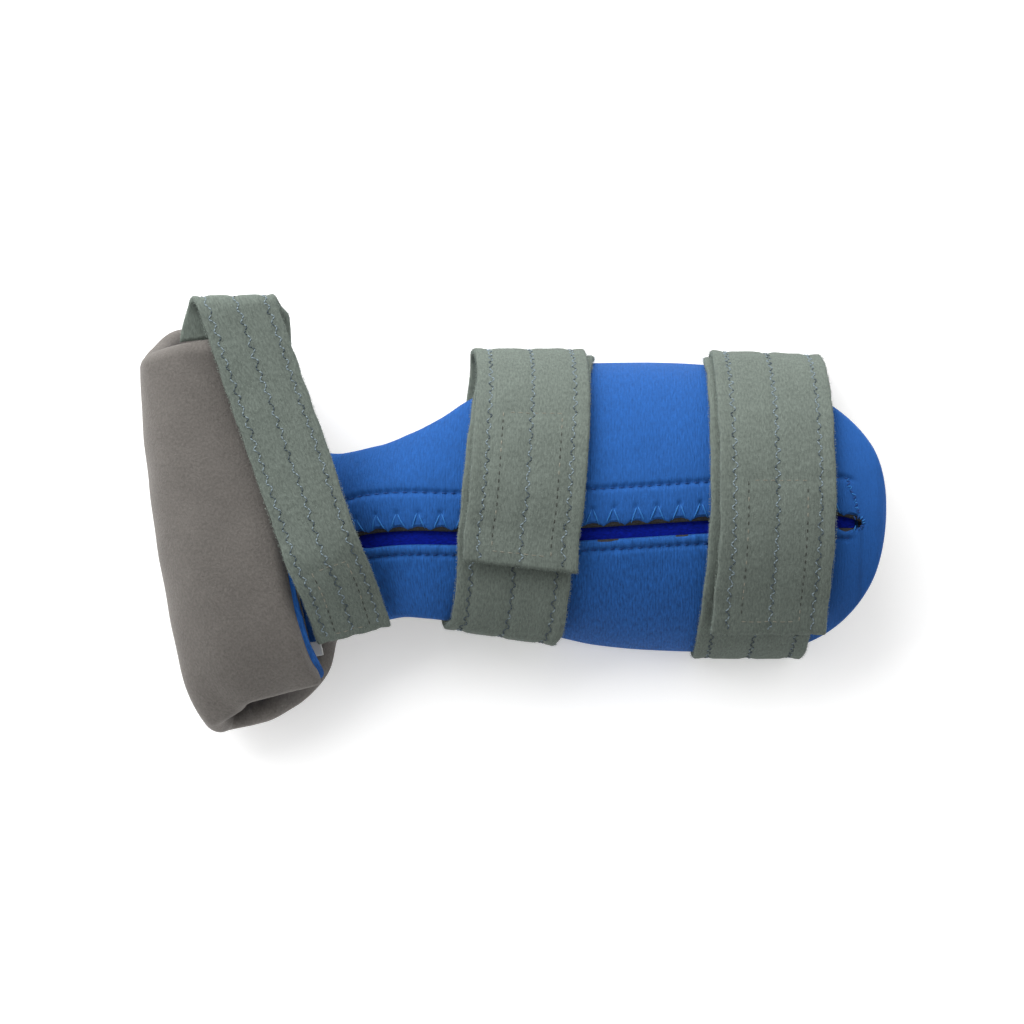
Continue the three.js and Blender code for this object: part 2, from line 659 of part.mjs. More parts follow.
// All pieces, moved so that the middle of the underside of their box is the origin.
function splint() {
  const pieces = {
    outer_cover: outerCover(),
    lining: layer(liningOutline, SPINE_LENGTH - COVER_PAST_LINING),
    closure_strip: slitBand(() => 2 * STRIP_HALF_WIDTH, STRIP_BOTTOM, STRIP_TOP, STRIP_PAST_SLIT),
    strap_forearm: woundStrap(FOREARM_TURNS, FOREARM_TRIM),
    strap_wrist: woundStrap(WRIST_TURNS, WRIST_TRIM),
    strap_hand: handStrap(),
    care_label: careLabel(),
  };
  const group = new THREE.Group();
  group.name = "resting_hand_splint";
  for (const [name, geometry] of Object.entries(pieces)) {
    const finish = FINISHES[name] ?? FINISHES.strap;
    const mesh = new THREE.Mesh(geometry, new THREE.MeshStandardMaterial(finish));
    mesh.name = name;
    group.add(mesh);
  }
  const box = new THREE.Box3().setFromObject(group);
  const middle = box.getCenter(new THREE.Vector3());
  for (const mesh of group.children) mesh.geometry.translate(-middle.x, -middle.y, -box.min.z);
  return group;
}

export default splint();
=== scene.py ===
"""Looks of a resting hand splint: padded sheet, straps, stitches, studio light and camera.

Sizes are millimetres. Shapes are worked out about the axis of the camera, moved by HOME into the part's
frame and handed to Blender in metres.
"""
import logging
import math
from dataclasses import dataclass, field
from enum import Enum
from typing import Callable, Sequence

import bpy
import numpy as np
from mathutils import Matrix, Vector


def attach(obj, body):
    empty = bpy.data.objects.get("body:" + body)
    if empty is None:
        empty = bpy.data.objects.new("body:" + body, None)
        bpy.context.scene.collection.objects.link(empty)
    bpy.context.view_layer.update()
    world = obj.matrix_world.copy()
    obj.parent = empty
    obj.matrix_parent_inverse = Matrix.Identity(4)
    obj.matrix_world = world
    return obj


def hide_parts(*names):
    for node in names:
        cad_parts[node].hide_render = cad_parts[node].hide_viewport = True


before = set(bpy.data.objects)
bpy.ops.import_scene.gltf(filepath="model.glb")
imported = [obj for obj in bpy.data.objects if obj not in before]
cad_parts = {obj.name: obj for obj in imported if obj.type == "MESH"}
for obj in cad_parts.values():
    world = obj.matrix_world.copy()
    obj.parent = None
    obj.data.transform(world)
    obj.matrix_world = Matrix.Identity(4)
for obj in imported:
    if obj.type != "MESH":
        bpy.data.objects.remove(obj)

LOG = logging.getLogger("splint")
MM = 0.001
METRE = 1000.0
HOME = np.array([1.0664, 1.3029, 0.0])

Array = np.ndarray
Placer = Callable[[Array], tuple[Array, Array]]
Point = tuple[float, float, float]
Colour = tuple[float, float, float, float]
Piece = bpy.types.Object
Material = bpy.types.Material
Socket = bpy.types.NodeSocket

WHITE: Colour = (1.0, 1.0, 1.0, 1.0)


class Slot(Enum):
    """Material slots of the record."""

    COVER = "cover"
    LINING = "lining"
    STRIP = "strip"
    STRAP = "strap"
    LABEL = "label"


class Space(Enum):
    """Kinds of coordinates that a finish follows."""

    SURFACE = "UV"
    OBJECT = "Object"


class Track:
    """Smooth curve through the rows of a table, without overshoot and level at both ends."""

    def __init__(self, places: Sequence[float], values: Sequence[float]) -> None:
        """Work out the slope at each row.

        Args:
            places: Rising places of the rows.
            values: Value of each row.
        """
        self.places = np.asarray(places, float)
        self.values = np.asarray(values, float)
        rise = np.diff(self.values) / np.diff(self.places)
        before, after = rise[:-1], rise[1:]
        agree = before * after > 0
        total = np.where(agree, before + after, 1.0)
        self.slopes = np.zeros(len(self.values))
        self.slopes[1:-1] = np.where(agree, 2 * before * after / total, 0.0)

    def __call__(self, place: Array) -> Array:
        """Value at each place.

        Args:
            place: Places, held to the ends of the table.

        Returns:
            One value for each place.
        """
        spot = np.clip(place, self.places[0], self.places[-1])
        row = np.clip(np.searchsorted(self.places, spot, side="right") - 1, 0, len(self.places) - 2)
        span = self.places[row + 1] - self.places[row]
        share = (spot - self.places[row]) / span
        square, cube = share**2, share**3
        return (
            (2 * cube - 3 * square + 1) * self.values[row]
            + (cube - 2 * square + share) * self.slopes[row] * span
            + (3 * square - 2 * cube) * self.values[row + 1]
            + (cube - square) * self.slopes[row + 1] * span
        )


def track(rows: Sequence[object], key: str, column: str) -> Track:
    """Curve of one column of a table of rows over another column."""
    return Track([getattr(row, key) for row in rows], [getattr(row, column) for row in rows])


def unit(vectors: Array) -> Array:
    """The vectors at length one."""
    return vectors / np.maximum(np.linalg.norm(vectors, axis=-1, keepdims=True), 1e-9)


def between(place: Array, places: Array, rows: Array) -> Array:
    """Points at places between the places of given rows of points."""
    return np.stack([np.interp(place, places, rows[:, k]) for k in range(3)], axis=-1)


def bell(distance: Array, width: float) -> Array:
    """Bell curve of height one over a distance."""
    return np.exp(-((distance / width) ** 2))


@dataclass(frozen=True)
class Dent:
    """Dent or swelling of cloth beside a thread: height, width, and distance of its middle."""

    depth: float
    width: float
    place: float = 0.0

    def at(self, distance: Array) -> Array:
        """Height at a distance."""
        return self.depth * bell(distance - self.place, self.width)


def ease(place: Array, start: float, end: float) -> Array:
    """Smooth step from 0 at start to 1 at end."""
    share = np.clip((place - start) / (end - start), 0.0, 1.0)
    return share * share * (3 - 2 * share)


def ripple(u: Array, v: Array, size: float, seed: int) -> Array:
    """Soft unevenness between about -1 and 1, the same on every run.

    Args:
        u: First coordinate in millimetres.
        v: Second coordinate in millimetres.
        size: Length of the longest wave in millimetres.
        seed: Number that picks the pattern.

    Returns:
        One value for each pair of coordinates.
    """
    chance = np.random.default_rng(seed)
    total = np.zeros(np.broadcast(u, v).shape)
    for _ in range(7):
        angle, phase = chance.uniform(0, 2 * math.pi, 2)
        wave = 2 * math.pi / (size * chance.uniform(0.45, 1.0))
        total = total + np.sin(wave * (u * math.cos(angle) + v * math.sin(angle)) + phase)
    return total / 4.0


@dataclass(frozen=True)
class Run:
    """A stretch of the middle line: its length, and its turns upwards and sideways in degrees."""

    length: float
    turn: float = 0.0
    yaw: float = 0.0


@dataclass(frozen=True)
class Section:
    """A section across the sheet: reach to each rim, fall of the rims, arc, and wrap of the lining."""

    along: float
    thumb: float
    little: float
    drop: float
    arc: float
    wrap_thumb: float = 0.0
    wrap_little: float = 0.0


@dataclass(frozen=True)
class SlitRow:
    """A place along the closure slit: middle and width of the opening across the crown."""

    along: float
    middle: float
    width: float


@dataclass(frozen=True)
class CurlRow:
    """A place where the little finger's rim curls in over the hollow of the grip, and how far."""

    along: float
    rise: float


@dataclass(frozen=True)
class FlareRow:
    """A distance across the free edge, and how far the edge runs on there."""

    across: float
    shift: float


RUNS = (Run(149), Run(24, -26.2, 9.3), Run(46.35), Run(69.2, 208.7), Run(22.6, 0, 3))

SECTIONS = (
    Section(0, 45, 45, 35.7, 80),
    Section(60, 45, 46, 33.1, 80),
    Section(79, 45.4, 45.4, 32.3, 80),
    Section(96, 45.2, 43.8, 31.5, 80),
    Section(107, 44, 41.5, 30.4, 79),
    Section(119, 40, 37.8, 24.5, 73),
    Section(130, 35.5, 36, 17.5, 64),
    Section(139, 31.8, 35.2, 14, 58, 4, 0),
    Section(149, 25.2, 34.2, 11, 52),
    Section(158, 20.8, 33.6, 9.5, 48),
    Section(170, 17.4, 32.8, 8, 42),
    Section(183, 16.8, 33.4, 6.5, 38),
    Section(191, 18.4, 34.4, 5.5, 35, 1, 1),
    Section(195, 25, 35.8, 5, 33, 3, 2.5),
    Section(199, 43, 38.4, 4.5, 32, 7, 6),
    Section(203, 54.5, 47.6, 4, 30, 11, 12),
    Section(207, 60, 52.4, 3.4, 30, 13, 17),
    Section(212, 64.5, 57.2, 2.6, 30, 14, 20),
    Section(220, 68, 60.6, 1.4, 30, 14, 22),
    Section(235, 68.7, 61.2, 0.2, 30, 14, 22),
    Section(250, 63, 61.8, -3.2, 30, 14, 17),
    Section(262, 59, 58.8, -3.8, 30, 14, 15),
    Section(275, 59.6, 54.8, -1, 30, 14, 15),
    Section(288, 60.4, 52.6, 0.2, 30, 14, 15),
    Section(294, 60.4, 52, 0.2, 30, 6, 6),
    Section(300, 60.2, 51.5, 0.2, 30),
    Section(312.6, 60, 51, 0.2, 30),
)

LITTLE_CURL = (
    CurlRow(199, 0),
    CurlRow(206, 0.5),
    CurlRow(220, 9),
    CurlRow(235, 7),
    CurlRow(247, -2.2),
    CurlRow(262, -2.2),
    CurlRow(275, 6.5),
    CurlRow(288, 8.5),
)

LITTLE_TUCK = (
    CurlRow(199, 0),
    CurlRow(205, 0.5),
    CurlRow(214, 4),
    CurlRow(222, 3.6),
    CurlRow(234, 4.6),
    CurlRow(247, 4),
    CurlRow(261, 4),
    CurlRow(275, 5),
    CurlRow(286, 4),
    CurlRow(300, 6),
    CurlRow(312, 6),
)

FREE_FLARE = (
    FlareRow(-56, 4),
    FlareRow(-52, 1.6),
    FlareRow(-48, -0.3),
    FlareRow(-43, -1.2),
    FlareRow(-30, -2),
    FlareRow(-14, -1.2),
    FlareRow(0, 0),
)

SLIT = (
    SlitRow(7.5, -5.6, 0.8),
    SlitRow(10, -5.2, 3.4),
    SlitRow(17, -4.5, 4.8),
    SlitRow(60, -6.2, 5.1),
    SlitRow(100, -8.4, 5),
    SlitRow(141, -9.8, 5.3),
    SlitRow(173, -9, 5.6),
    SlitRow(180, -8.9, 4),
    SlitRow(183, -8.9, 0.8),
)


def directions(pitch: Array, yaw: Array) -> tuple[Array, Array, Array]:
    """Heading, direction to the thumb and direction out of the cover for a pitch and a yaw.

    Args:
        pitch: Angles above the level in radians.
        yaw: Angles about the vertical in radians.

    Returns:
        Three arrays of unit vectors.
    """
    level = np.cos(pitch)
    heading = np.stack([-level * np.cos(yaw), -level * np.sin(yaw), np.sin(pitch)], axis=-1)
    thumbward = np.stack([-np.sin(yaw), np.cos(yaw), np.zeros_like(yaw)], axis=-1)
    return heading, thumbward, np.cross(thumbward, heading)


@dataclass
class Spine:
    """Middle line of the sheet from the elbow end to the free edge of the grip."""

    tip: Point = (123.9, 2.0, 42.5)
    start_pitch: float = -2.5
    step: float = 0.25
    length: float = field(init=False)

    def __post_init__(self) -> None:
        """Walk the runs in short steps."""
        self.length = sum(run.length for run in RUNS)
        turns, sways, steps = [0.0], [0.0], []
        for run in RUNS:
            count = round(run.length / self.step)
            turns += [math.radians(run.turn) / count] * count
            sways += [math.radians(run.yaw) / count] * count
            steps += [run.length / count] * count
        self.pitch = math.radians(self.start_pitch) + np.cumsum(turns)
        self.yaw = np.cumsum(sways)
        half_way = (self.pitch[1:] + self.pitch[:-1]) / 2, (self.yaw[1:] + self.yaw[:-1]) / 2
        heading = directions(*half_way)[0]
        walked = np.cumsum(heading * np.array(steps)[:, None], axis=0)
        self.origin = np.array(self.tip) + np.vstack([np.zeros(3), walked])

    def at(self, along: Array) -> tuple[Array, Array, Array, Array]:
        """Origin, heading, thumb direction and outward direction at distances along the line.

        Args:
            along: Distances from the elbow end.

        Returns:
            Four arrays, a vector for each distance.
        """
        index = np.arange(len(self.pitch))
        place = np.clip(along / self.length, 0, 1) * index[-1]
        pitch, yaw = np.interp(place, index, self.pitch), np.interp(place, index, self.yaw)
        return (between(place, index, self.origin), *directions(pitch, yaw))


@dataclass
class Side:
    """Reach, fall and arc of one side of the sheet, one row for each station."""

    reach: Array
    drop: Array
    arc: Array


@dataclass
class Stations:
    """Everything needed to place points at distances along the sheet."""

    along: Array
    origin: Array
    heading: Array
    thumbward: Array
    outward: Array
    half: Array
    thumb: Side
    little: Side
    wrap_thumb: Array
    wrap_little: Array
    flare: Array
    tuck: Array


@dataclass
class Middle:
    """Middle surface in the plane of a section: point, tangent to the rim, normal and speed."""

    point: Array
    tangent: Array
    normal: Array
    speed: Array


def round_share(depth: Array, radius: float) -> Array:
    """Height of a round edge as a share of its full height, at a depth inside the edge."""
    inside = 1 - np.clip(depth / radius, 0, 1)
    return np.sqrt(1 - inside * inside)


@dataclass
class PaddedSheet:
    """Shape of the two-layer padded sheet: trough, wrist, palm and curled grip."""

    thick: float = 8.6
    layer_gap: float = 0.3
    round_little: float = 37.0
    round_thumb: float = 70.0
    free_corner: float = 3.5
    cover_past_lining: float = 1.7
    flare_start: float = 286.0
    tuck_power: int = 7
    spine: Spine = field(default_factory=Spine)

    def __post_init__(self) -> None:
        """Make a curve of each column of the sections."""
        columns = ("thumb", "little", "drop", "arc", "wrap_thumb", "wrap_little")
        self.tracks = {name: track(SECTIONS, "along", name) for name in columns}
        self.curl = track(LITTLE_CURL, "along", "rise")
        self.flare = track(FREE_FLARE, "across", "shift")
        self.tuck = track(LITTLE_TUCK, "along", "rise")

    @property
    def half(self) -> float:
        """Half the thickness of the sheet."""
        return self.thick / 2

    def side(self, along: Array, end: float, name: str, round_length: float) -> Side:
        """One side of the sections, drawn in at the rounded elbow end and at the free corners.

        Args:
            along: Distances along the sheet.
            end: Distance at which the layer ends.
            name: Column of the sections, thumb or little.
            round_length: Length of the rounding at the elbow end.

        Returns:
            Reach, fall and arc at each distance.
        """
        full_reach = self.tracks[name](along)
        corner = self.free_corner * (1 - round_share(end - along, self.free_corner))
        share = round_share(along, round_length) - corner / full_reach
        full_arc = np.radians(self.tracks["arc"](along))
        arc = np.arcsin(np.sin(full_arc) * share)
        full_drop = self.tracks["drop"](along) - (self.curl(along) if name == "little" else 0.0)
        drop = full_drop * (1 - np.cos(arc)) / (1 - np.cos(full_arc))
        return Side((full_reach * share)[:, None], drop[:, None], arc[:, None])

    def stations(self, along: Array, end: float) -> Stations:
        """Stations at distances along a layer that ends at a distance.

        Args:
            along: Distances along the sheet.
            end: Distance at which the layer ends.

        Returns:
            The stations, a row for each distance.
        """
        depth = np.minimum(along, end - along)
        origin, heading, thumbward, outward = self.spine.at(along)
        return Stations(
            along,
            origin,
            heading,
            thumbward,
            outward,
            (self.half * round_share(depth, self.half))[:, None],
            self.side(along, end, "thumb", self.round_thumb),
            self.side(along, end, "little", self.round_little),
            self.tracks["wrap_thumb"](along)[:, None],
            self.tracks["wrap_little"](along)[:, None],
            np.clip((along - self.flare_start) / (self.spine.length - self.flare_start), 0, 1)[:, None],
            self.tuck(along)[:, None],
        )

    def middle(self, at: Stations, share: Array) -> Middle:
        """Middle surface at shares across, from -1 at the little finger to 1 at the thumb.

        Args:
            at: Stations along the sheet.
            share: Shares across, a row for each station.

        Returns:
            The middle surface at each share.
        """
        is_little = share < 0
        sign = np.where(is_little, -1.0, 1.0)
        arc = np.where(is_little, at.little.arc, at.thumb.arc)
        reach = np.where(is_little, at.little.reach, at.thumb.reach)
        drop = np.where(is_little, at.little.drop, at.thumb.drop)
        angle = np.abs(share) * arc
        wide, deep = reach / np.sin(arc), drop / (1 - np.cos(arc))
        tuck = at.tuck * is_little
        power, size = self.tuck_power, np.abs(share)
        slope_x = wide * np.cos(angle)
        slope_y = tuck * power * size ** (power - 1) / arc - deep * np.sin(angle)
        speed = np.hypot(slope_x, slope_y)
        slope_x, slope_y = slope_x / speed, slope_y / speed
        height = tuck * size**power - deep * (1 - np.cos(angle))
        return Middle(
            np.stack([sign * wide * np.sin(angle), height], axis=-1),
            np.stack([sign * slope_x, slope_y], axis=-1),
            np.stack([-sign * slope_y, slope_x], axis=-1),
            speed * arc,
        )

    def face(self, at: Stations, share: Array, height: Array) -> Array:
        """Points at shares across and heights over the middle surface, in the section plane."""
        middle = self.middle(at, share)
        return middle.point + middle.normal * np.broadcast_to(height, share.shape)[..., None]

    def skin(self, at: Stations, sign: float, distance: Array, relief: Array | float = 0.0) -> Array:
        """Points on the skin by distance from the inner face, round the rim and over the outer face.

        Args:
            at: Stations along the sheet.
            sign: 1 for the thumb's rim, -1 for the little finger's.
            distance: Distances on the skin, a row for each station.
            relief: Extra height on the outer face.

        Returns:
            Points in the section plane.
        """
        rim = self.middle(at, np.full((len(at.along), 1), float(sign)))
        around = math.pi * at.half
        share = sign * (1 - np.maximum(distance - around, 0) / rim.speed)
        flat = self.face(at, share, at.half + relief)
        angle = distance / at.half - math.pi / 2
        bend = rim.point + at.half[..., None] * (
            rim.tangent * np.cos(angle)[..., None] + rim.normal * np.sin(angle)[..., None]
        )
        return np.where((distance > around)[..., None], flat, bend)

    def seam(self, at: Stations, sign: float) -> tuple[Array, Array]:
        """Where lining and cover meet on a rim: distance on the skin, and share across below it.

        Args:
            at: Stations along the sheet.
            sign: 1 for the thumb's rim, -1 for the little finger's.

        Returns:
            Distance and share, a row for each station.
        """
        wrap = at.wrap_little if sign < 0 else at.wrap_thumb
        quarter = math.pi / 2 * at.half
        speed = self.middle(at, np.full((len(at.along), 1), float(sign))).speed
        return quarter + wrap, 1 - np.maximum(wrap - quarter, 0) / speed

    def share_across(self, at: Stations, across: Array) -> Array:
        """Share across the sheet for level distances from the crown.

        Args:
            at: Stations along the sheet.
            across: Level distances, positive towards the thumb.

        Returns:
            Shares from -1 to 1.
        """
        is_little = across < 0
        arc = np.where(is_little, at.little.arc, at.thumb.arc)
        reach = np.where(is_little, at.little.reach, at.thumb.reach)
        return np.sign(across) * np.arcsin(np.clip(np.abs(across) * np.sin(arc) / reach, 0, 1)) / arc

    def in_space(self, at: Stations, flat: Array) -> Array:
        """Points of the section plane in space.

        Args:
            at: Stations along the sheet.
            flat: Points in the section plane, a row for each station.

        Returns:
            The points in space.
        """
        return (
            at.origin[:, None]
            + at.heading[:, None] * (at.flare * self.flare(flat[..., 0]))[..., None]
            + at.thumbward[:, None] * flat[..., :1]
            + at.outward[:, None] * flat[..., 1:]
        )

    def place(self, along: Array, across: Array, height: float) -> tuple[Array, Array]:
        """Points and normals over the cover at pairs of distances along and across.

        Args:
            along: Distances along the sheet.
            across: Level distances from the crown.
            height: Height over the cover.

        Returns:
            Points and unit normals, one for each pair.
        """
        at = self.stations(along, self.spine.length)
        share = self.share_across(at, across[:, None])
        points = self.in_space(at, self.face(at, share, at.half + height))[:, 0]
        normal = self.middle(at, share).normal[:, 0]
        return points, at.thumbward * normal[:, :1] + at.outward * normal[:, 1:]


class Builder:
    """Makes Blender meshes from arrays of points in millimetres."""

    @staticmethod
    def rings(name: str, rings: Array, uv: Array) -> Piece:
        """Closed body through rings of points, both ends filled.

        Args:
            name: Name of the new object.
            rings: Points, ring by ring.
            uv: Surface coordinates of the points in millimetres.

        Returns:
            The new object, with faces outward and smooth.
        """
        count, width, _ = rings.shape
        near = np.arange(count - 1)[:, None] * width
        here = np.arange(width)[None, :]
        after = (here + 1) % width
        quads = np.stack([near + here, near + after, near + width + after, near + width + here], axis=-1)
        faces = quads.reshape(-1, 4).tolist()
        faces.append(list(range(width))[::-1])
        faces.append(list(range((count - 1) * width, count * width)))
        made = Builder.mesh(name, rings.reshape(-1, 3), faces)
        corners = np.zeros(len(made.data.loops), np.int32)
        made.data.loops.foreach_get("vertex_index", corners)
        layer = made.data.uv_layers.new(name="Surface")
        layer.data.foreach_set("uv", (uv.reshape(-1, 2)[corners] * MM).astype(np.float32).ravel())
        return made

    @staticmethod
    def layer(name: str, sheet: PaddedSheet, at: Stations, flat: Array) -> Piece:
        """Closed layer of the sheet, with distances along and around it as surface coordinates.

        Args:
            name: Name of the new object.
            sheet: Sheet to which the layer belongs.
            at: Stations along the sheet.
            flat: Points in the section plane, a ring for each station.

        Returns:
            The new object.
        """
        rings = sheet.in_space(at, flat)
        steps = np.linalg.norm(np.diff(rings, axis=1), axis=-1)
        around = np.pad(np.cumsum(steps, axis=1), ((0, 0), (1, 0)))
        uv = np.stack([np.broadcast_to(at.along[:, None], around.shape), around], axis=-1)
        return Builder.rings(name, rings, uv)

    @staticmethod
    def mesh(name: str, points: Array, faces: list[list[int]]) -> Piece:
        """Smooth object with outward faces from points in millimetres.

        Args:
            name: Name of the new object.
            points: Points in millimetres.
            faces: Numbers of the points of each face.

        Returns:
            The new object.
        """
        data = bpy.data.meshes.new(name)
        data.from_pydata(((points + HOME) * MM).tolist(), [], faces)
        data.validate()
        made = bpy.data.objects.new(name, data)
        bpy.context.scene.collection.objects.link(made)
        data.calc_loop_triangles()
        corners = np.zeros(len(data.loop_triangles) * 3, np.int32)
        data.loop_triangles.foreach_get("vertices", corners)
        a, b, c = (points[corners[k::3]] for k in range(3))
        if np.einsum("ij,ij->", a, np.cross(b, c)) < 0:
            data.flip_normals()
        data.shade_smooth()
        return made


def linear(colour: int) -> Colour:
    """Scene colour of a screen colour written as a hexadecimal number.

    Args:
        colour: Red, green and blue, two hexadecimal digits each.

    Returns:
        Red, green, blue and full opacity.
    """
    parts = [(colour >> shift & 255) / 255 for shift in (16, 8, 0)]
    bright = [p / 12.92 if p <= 0.04045 else ((p + 0.055) / 1.055) ** 2.4 for p in parts]
    return (*bright, 1.0)


class Nodes:
    """Short way to wire the nodes of one material."""

    def __init__(self, name: str) -> None:
        """Start a material with only its shader and output.

        Args:
            name: Name of the material.
        """
        self.material = bpy.data.materials.new(name)
        self.material.use_nodes = True
        self.tree = self.material.node_tree
        self.shader = self.tree.nodes["Principled BSDF"]

    def add(self, kind: str, values: dict[str, object] | None = None, **settings: object) -> bpy.types.Node:
        """New node with settings and values on its inputs.

        Args:
            kind: Blender's name for the kind of node.
            values: Values by the name of the input.
            settings: Settings of the node.

        Returns:
            The new node.
        """
        node = self.tree.nodes.new(kind)
        for key, value in settings.items():
            setattr(node, key, value)
        for key, value in (values or {}).items():
            node.inputs[key].default_value = value
        return node

    def link(self, start: Socket, end: Socket) -> None:
        """Wire from one socket to another."""
        self.tree.links.new(start, end)

    def mapped(self, space: Space, size: Point) -> Socket:
        """Coordinates of one kind, scaled.

        Args:
            space: Kind of coordinates.
            size: Millimetres that make one unit along each axis.

        Returns:
            The scaled coordinates.
        """
        mapping = self.add("ShaderNodeMapping", {"Scale": [1 / (length * MM) for length in size]})
        self.link(self.add("ShaderNodeTexCoord").outputs[space.value], mapping.inputs["Vector"])
        return mapping.outputs["Vector"]

    def noise(self, space: Space, size: Point, detail: float = 2.0) -> Socket:
        """Noise with cells of a size.

        Args:
            space: Kind of coordinates.
            size: Length of a cell along each axis in millimetres.
            detail: Number of finer layers.

        Returns:
            Value between about 0 and 1.
        """
        node = self.add("ShaderNodeTexNoise", {"Scale": 1.0, "Detail": detail, "Roughness": 0.6})
        self.link(self.mapped(space, size), node.inputs["Vector"])
        return node.outputs["Fac"]

    def grains(self, size: float, detail: float = 2.0) -> Socket:
        """Noise in space with cells of one size in millimetres."""
        return self.noise(Space.OBJECT, (size, size, size), detail)

    def streaks(self, length: float, width: float, detail: float = 2.0) -> Socket:
        """Fine broken streaks: sizes along both surface coordinates in millimetres."""
        return self.noise(Space.SURFACE, (length, width, METRE), detail)

    def ribs(self, pitch: float, length: float, uneven: float) -> Socket:
        """Fine ribs across the sheet, broken into uneven streaks.

        Args:
            pitch: Distance from rib to rib in millimetres.
            length: Usual length of a streak in millimetres.
            uneven: Share of the streaks, from 0 to 1.

        Returns:
            Height between about 0 and 1.
        """
        turn = math.pi / 10
        wave = self.add(
            "ShaderNodeTexWave",
            {"Scale": 1.0, "Distortion": 2.6, "Detail": 2.0, "Detail Scale": 1.4},
            wave_type="BANDS",
            bands_direction="X",
        )
        self.link(self.mapped(Space.SURFACE, (pitch / turn, 9 / turn, METRE)), wave.inputs["Vector"])
        mix = self.add("ShaderNodeMix", data_type="FLOAT")
        mix.inputs[0].default_value = uneven
        self.link(wave.outputs["Fac"], mix.inputs[2])
        self.link(self.streaks(0.55 * pitch, length), mix.inputs[3])
        return mix.outputs[0]

    def fade(self, space: Space, axis: str, start: float, end: float, least: float) -> Socket:
        """Smooth step over one coordinate.

        Args:
            space: Kind of coordinates.
            axis: Letter of the coordinate.
            start: Place of the least value in millimetres.
            end: Place of the value 1 in millimetres.
            least: Value at and before the start.

        Returns:
            Value between the least and 1.
        """
        split = self.add("ShaderNodeSeparateXYZ")
        self.link(self.add("ShaderNodeTexCoord").outputs[space.value], split.inputs[0])
        limits = {"From Min": start * MM, "From Max": end * MM, "To Min": least}
        step = self.add("ShaderNodeMapRange", limits, interpolation_type="SMOOTHSTEP")
        self.link(split.outputs[axis], step.inputs["Value"])
        return step.outputs["Result"]

    def blend(self, first: Colour, second: Socket, shares: Sequence[Socket]) -> Socket:
        """From a flat colour to another colour.

        Args:
            first: Flat colour.
            second: Other colour.
            shares: Two shares of the other colour, which are multiplied.

        Returns:
            The mixed colour.
        """
        product = self.add("ShaderNodeMath", operation="MULTIPLY")
        for share, entry in zip(shares, product.inputs):
            self.link(share, entry)
        node = self.add("ShaderNodeMix", data_type="RGBA")
        node.inputs[6].default_value = first
        self.link(product.outputs[0], node.inputs[0])
        self.link(second, node.inputs[7])
        return node.outputs[2]

    def ramp(self, value: Socket, start: float, end: float, colour: Colour, dark: float) -> Socket:
        """Colour along a value, dark up to a start and full from an end.

        Args:
            value: Value that picks the colour.
            start: Value up to which the colour is dark.
            end: Value from which the colour is full.
            colour: Full colour.
            dark: Share of the colour that is left where it is dark.

        Returns:
            The colour.
        """
        node = self.add("ShaderNodeValToRGB")
        for element, place, share in zip(node.color_ramp.elements, (start, end), (dark, 1.0)):
            element.position = place
            element.color = dim(colour, share)
        self.link(value, node.inputs["Fac"])
        return node.outputs["Color"]

    def multiply(self, *colours: Socket) -> Socket:
        """Product of colours.

        Args:
            colours: Two colours or more.

        Returns:
            The product.
        """
        product = colours[0]
        for colour in colours[1:]:
            node = self.add("ShaderNodeMix", data_type="RGBA", blend_type="MULTIPLY")
            node.inputs[0].default_value = 1.0
            self.link(product, node.inputs[6])
            self.link(colour, node.inputs[7])
            product = node.outputs[2]
        return product

    def bump(self, height: Socket, depth: float, below: Socket | None = None) -> Socket:
        """Normal of a fine relief.

        Args:
            height: Height as a share of the depth.
            depth: Depth in millimetres.
            below: Normal on which the relief lies.

        Returns:
            The normal.
        """
        node = self.add("ShaderNodeBump", {"Strength": 1.0, "Distance": depth * MM})
        self.link(height, node.inputs["Height"])
        if below is not None:
            self.link(below, node.inputs["Normal"])
        return node.outputs["Normal"]

    def finish(self, colour: Socket, normal: Socket, **values: object) -> Material:
        """Wire colour and normal, and set uniform values on the shader's own sockets.

        Args:
            colour: Base colour.
            normal: Normal of the fine relief.
            values: Uniform values by the names of sockets, with underscores as spaces.

        Returns:
            The material.
        """
        self.link(colour, self.shader.inputs["Base Color"])
        self.link(normal, self.shader.inputs["Normal"])
        for key, value in values.items():
            self.shader.inputs[key.replace("_", " ")].default_value = value
        return self.material


def dim(colour: Colour, share: float) -> Colour:
    """A colour darkened to a share."""
    return (colour[0] * share, colour[1] * share, colour[2] * share, 1.0)


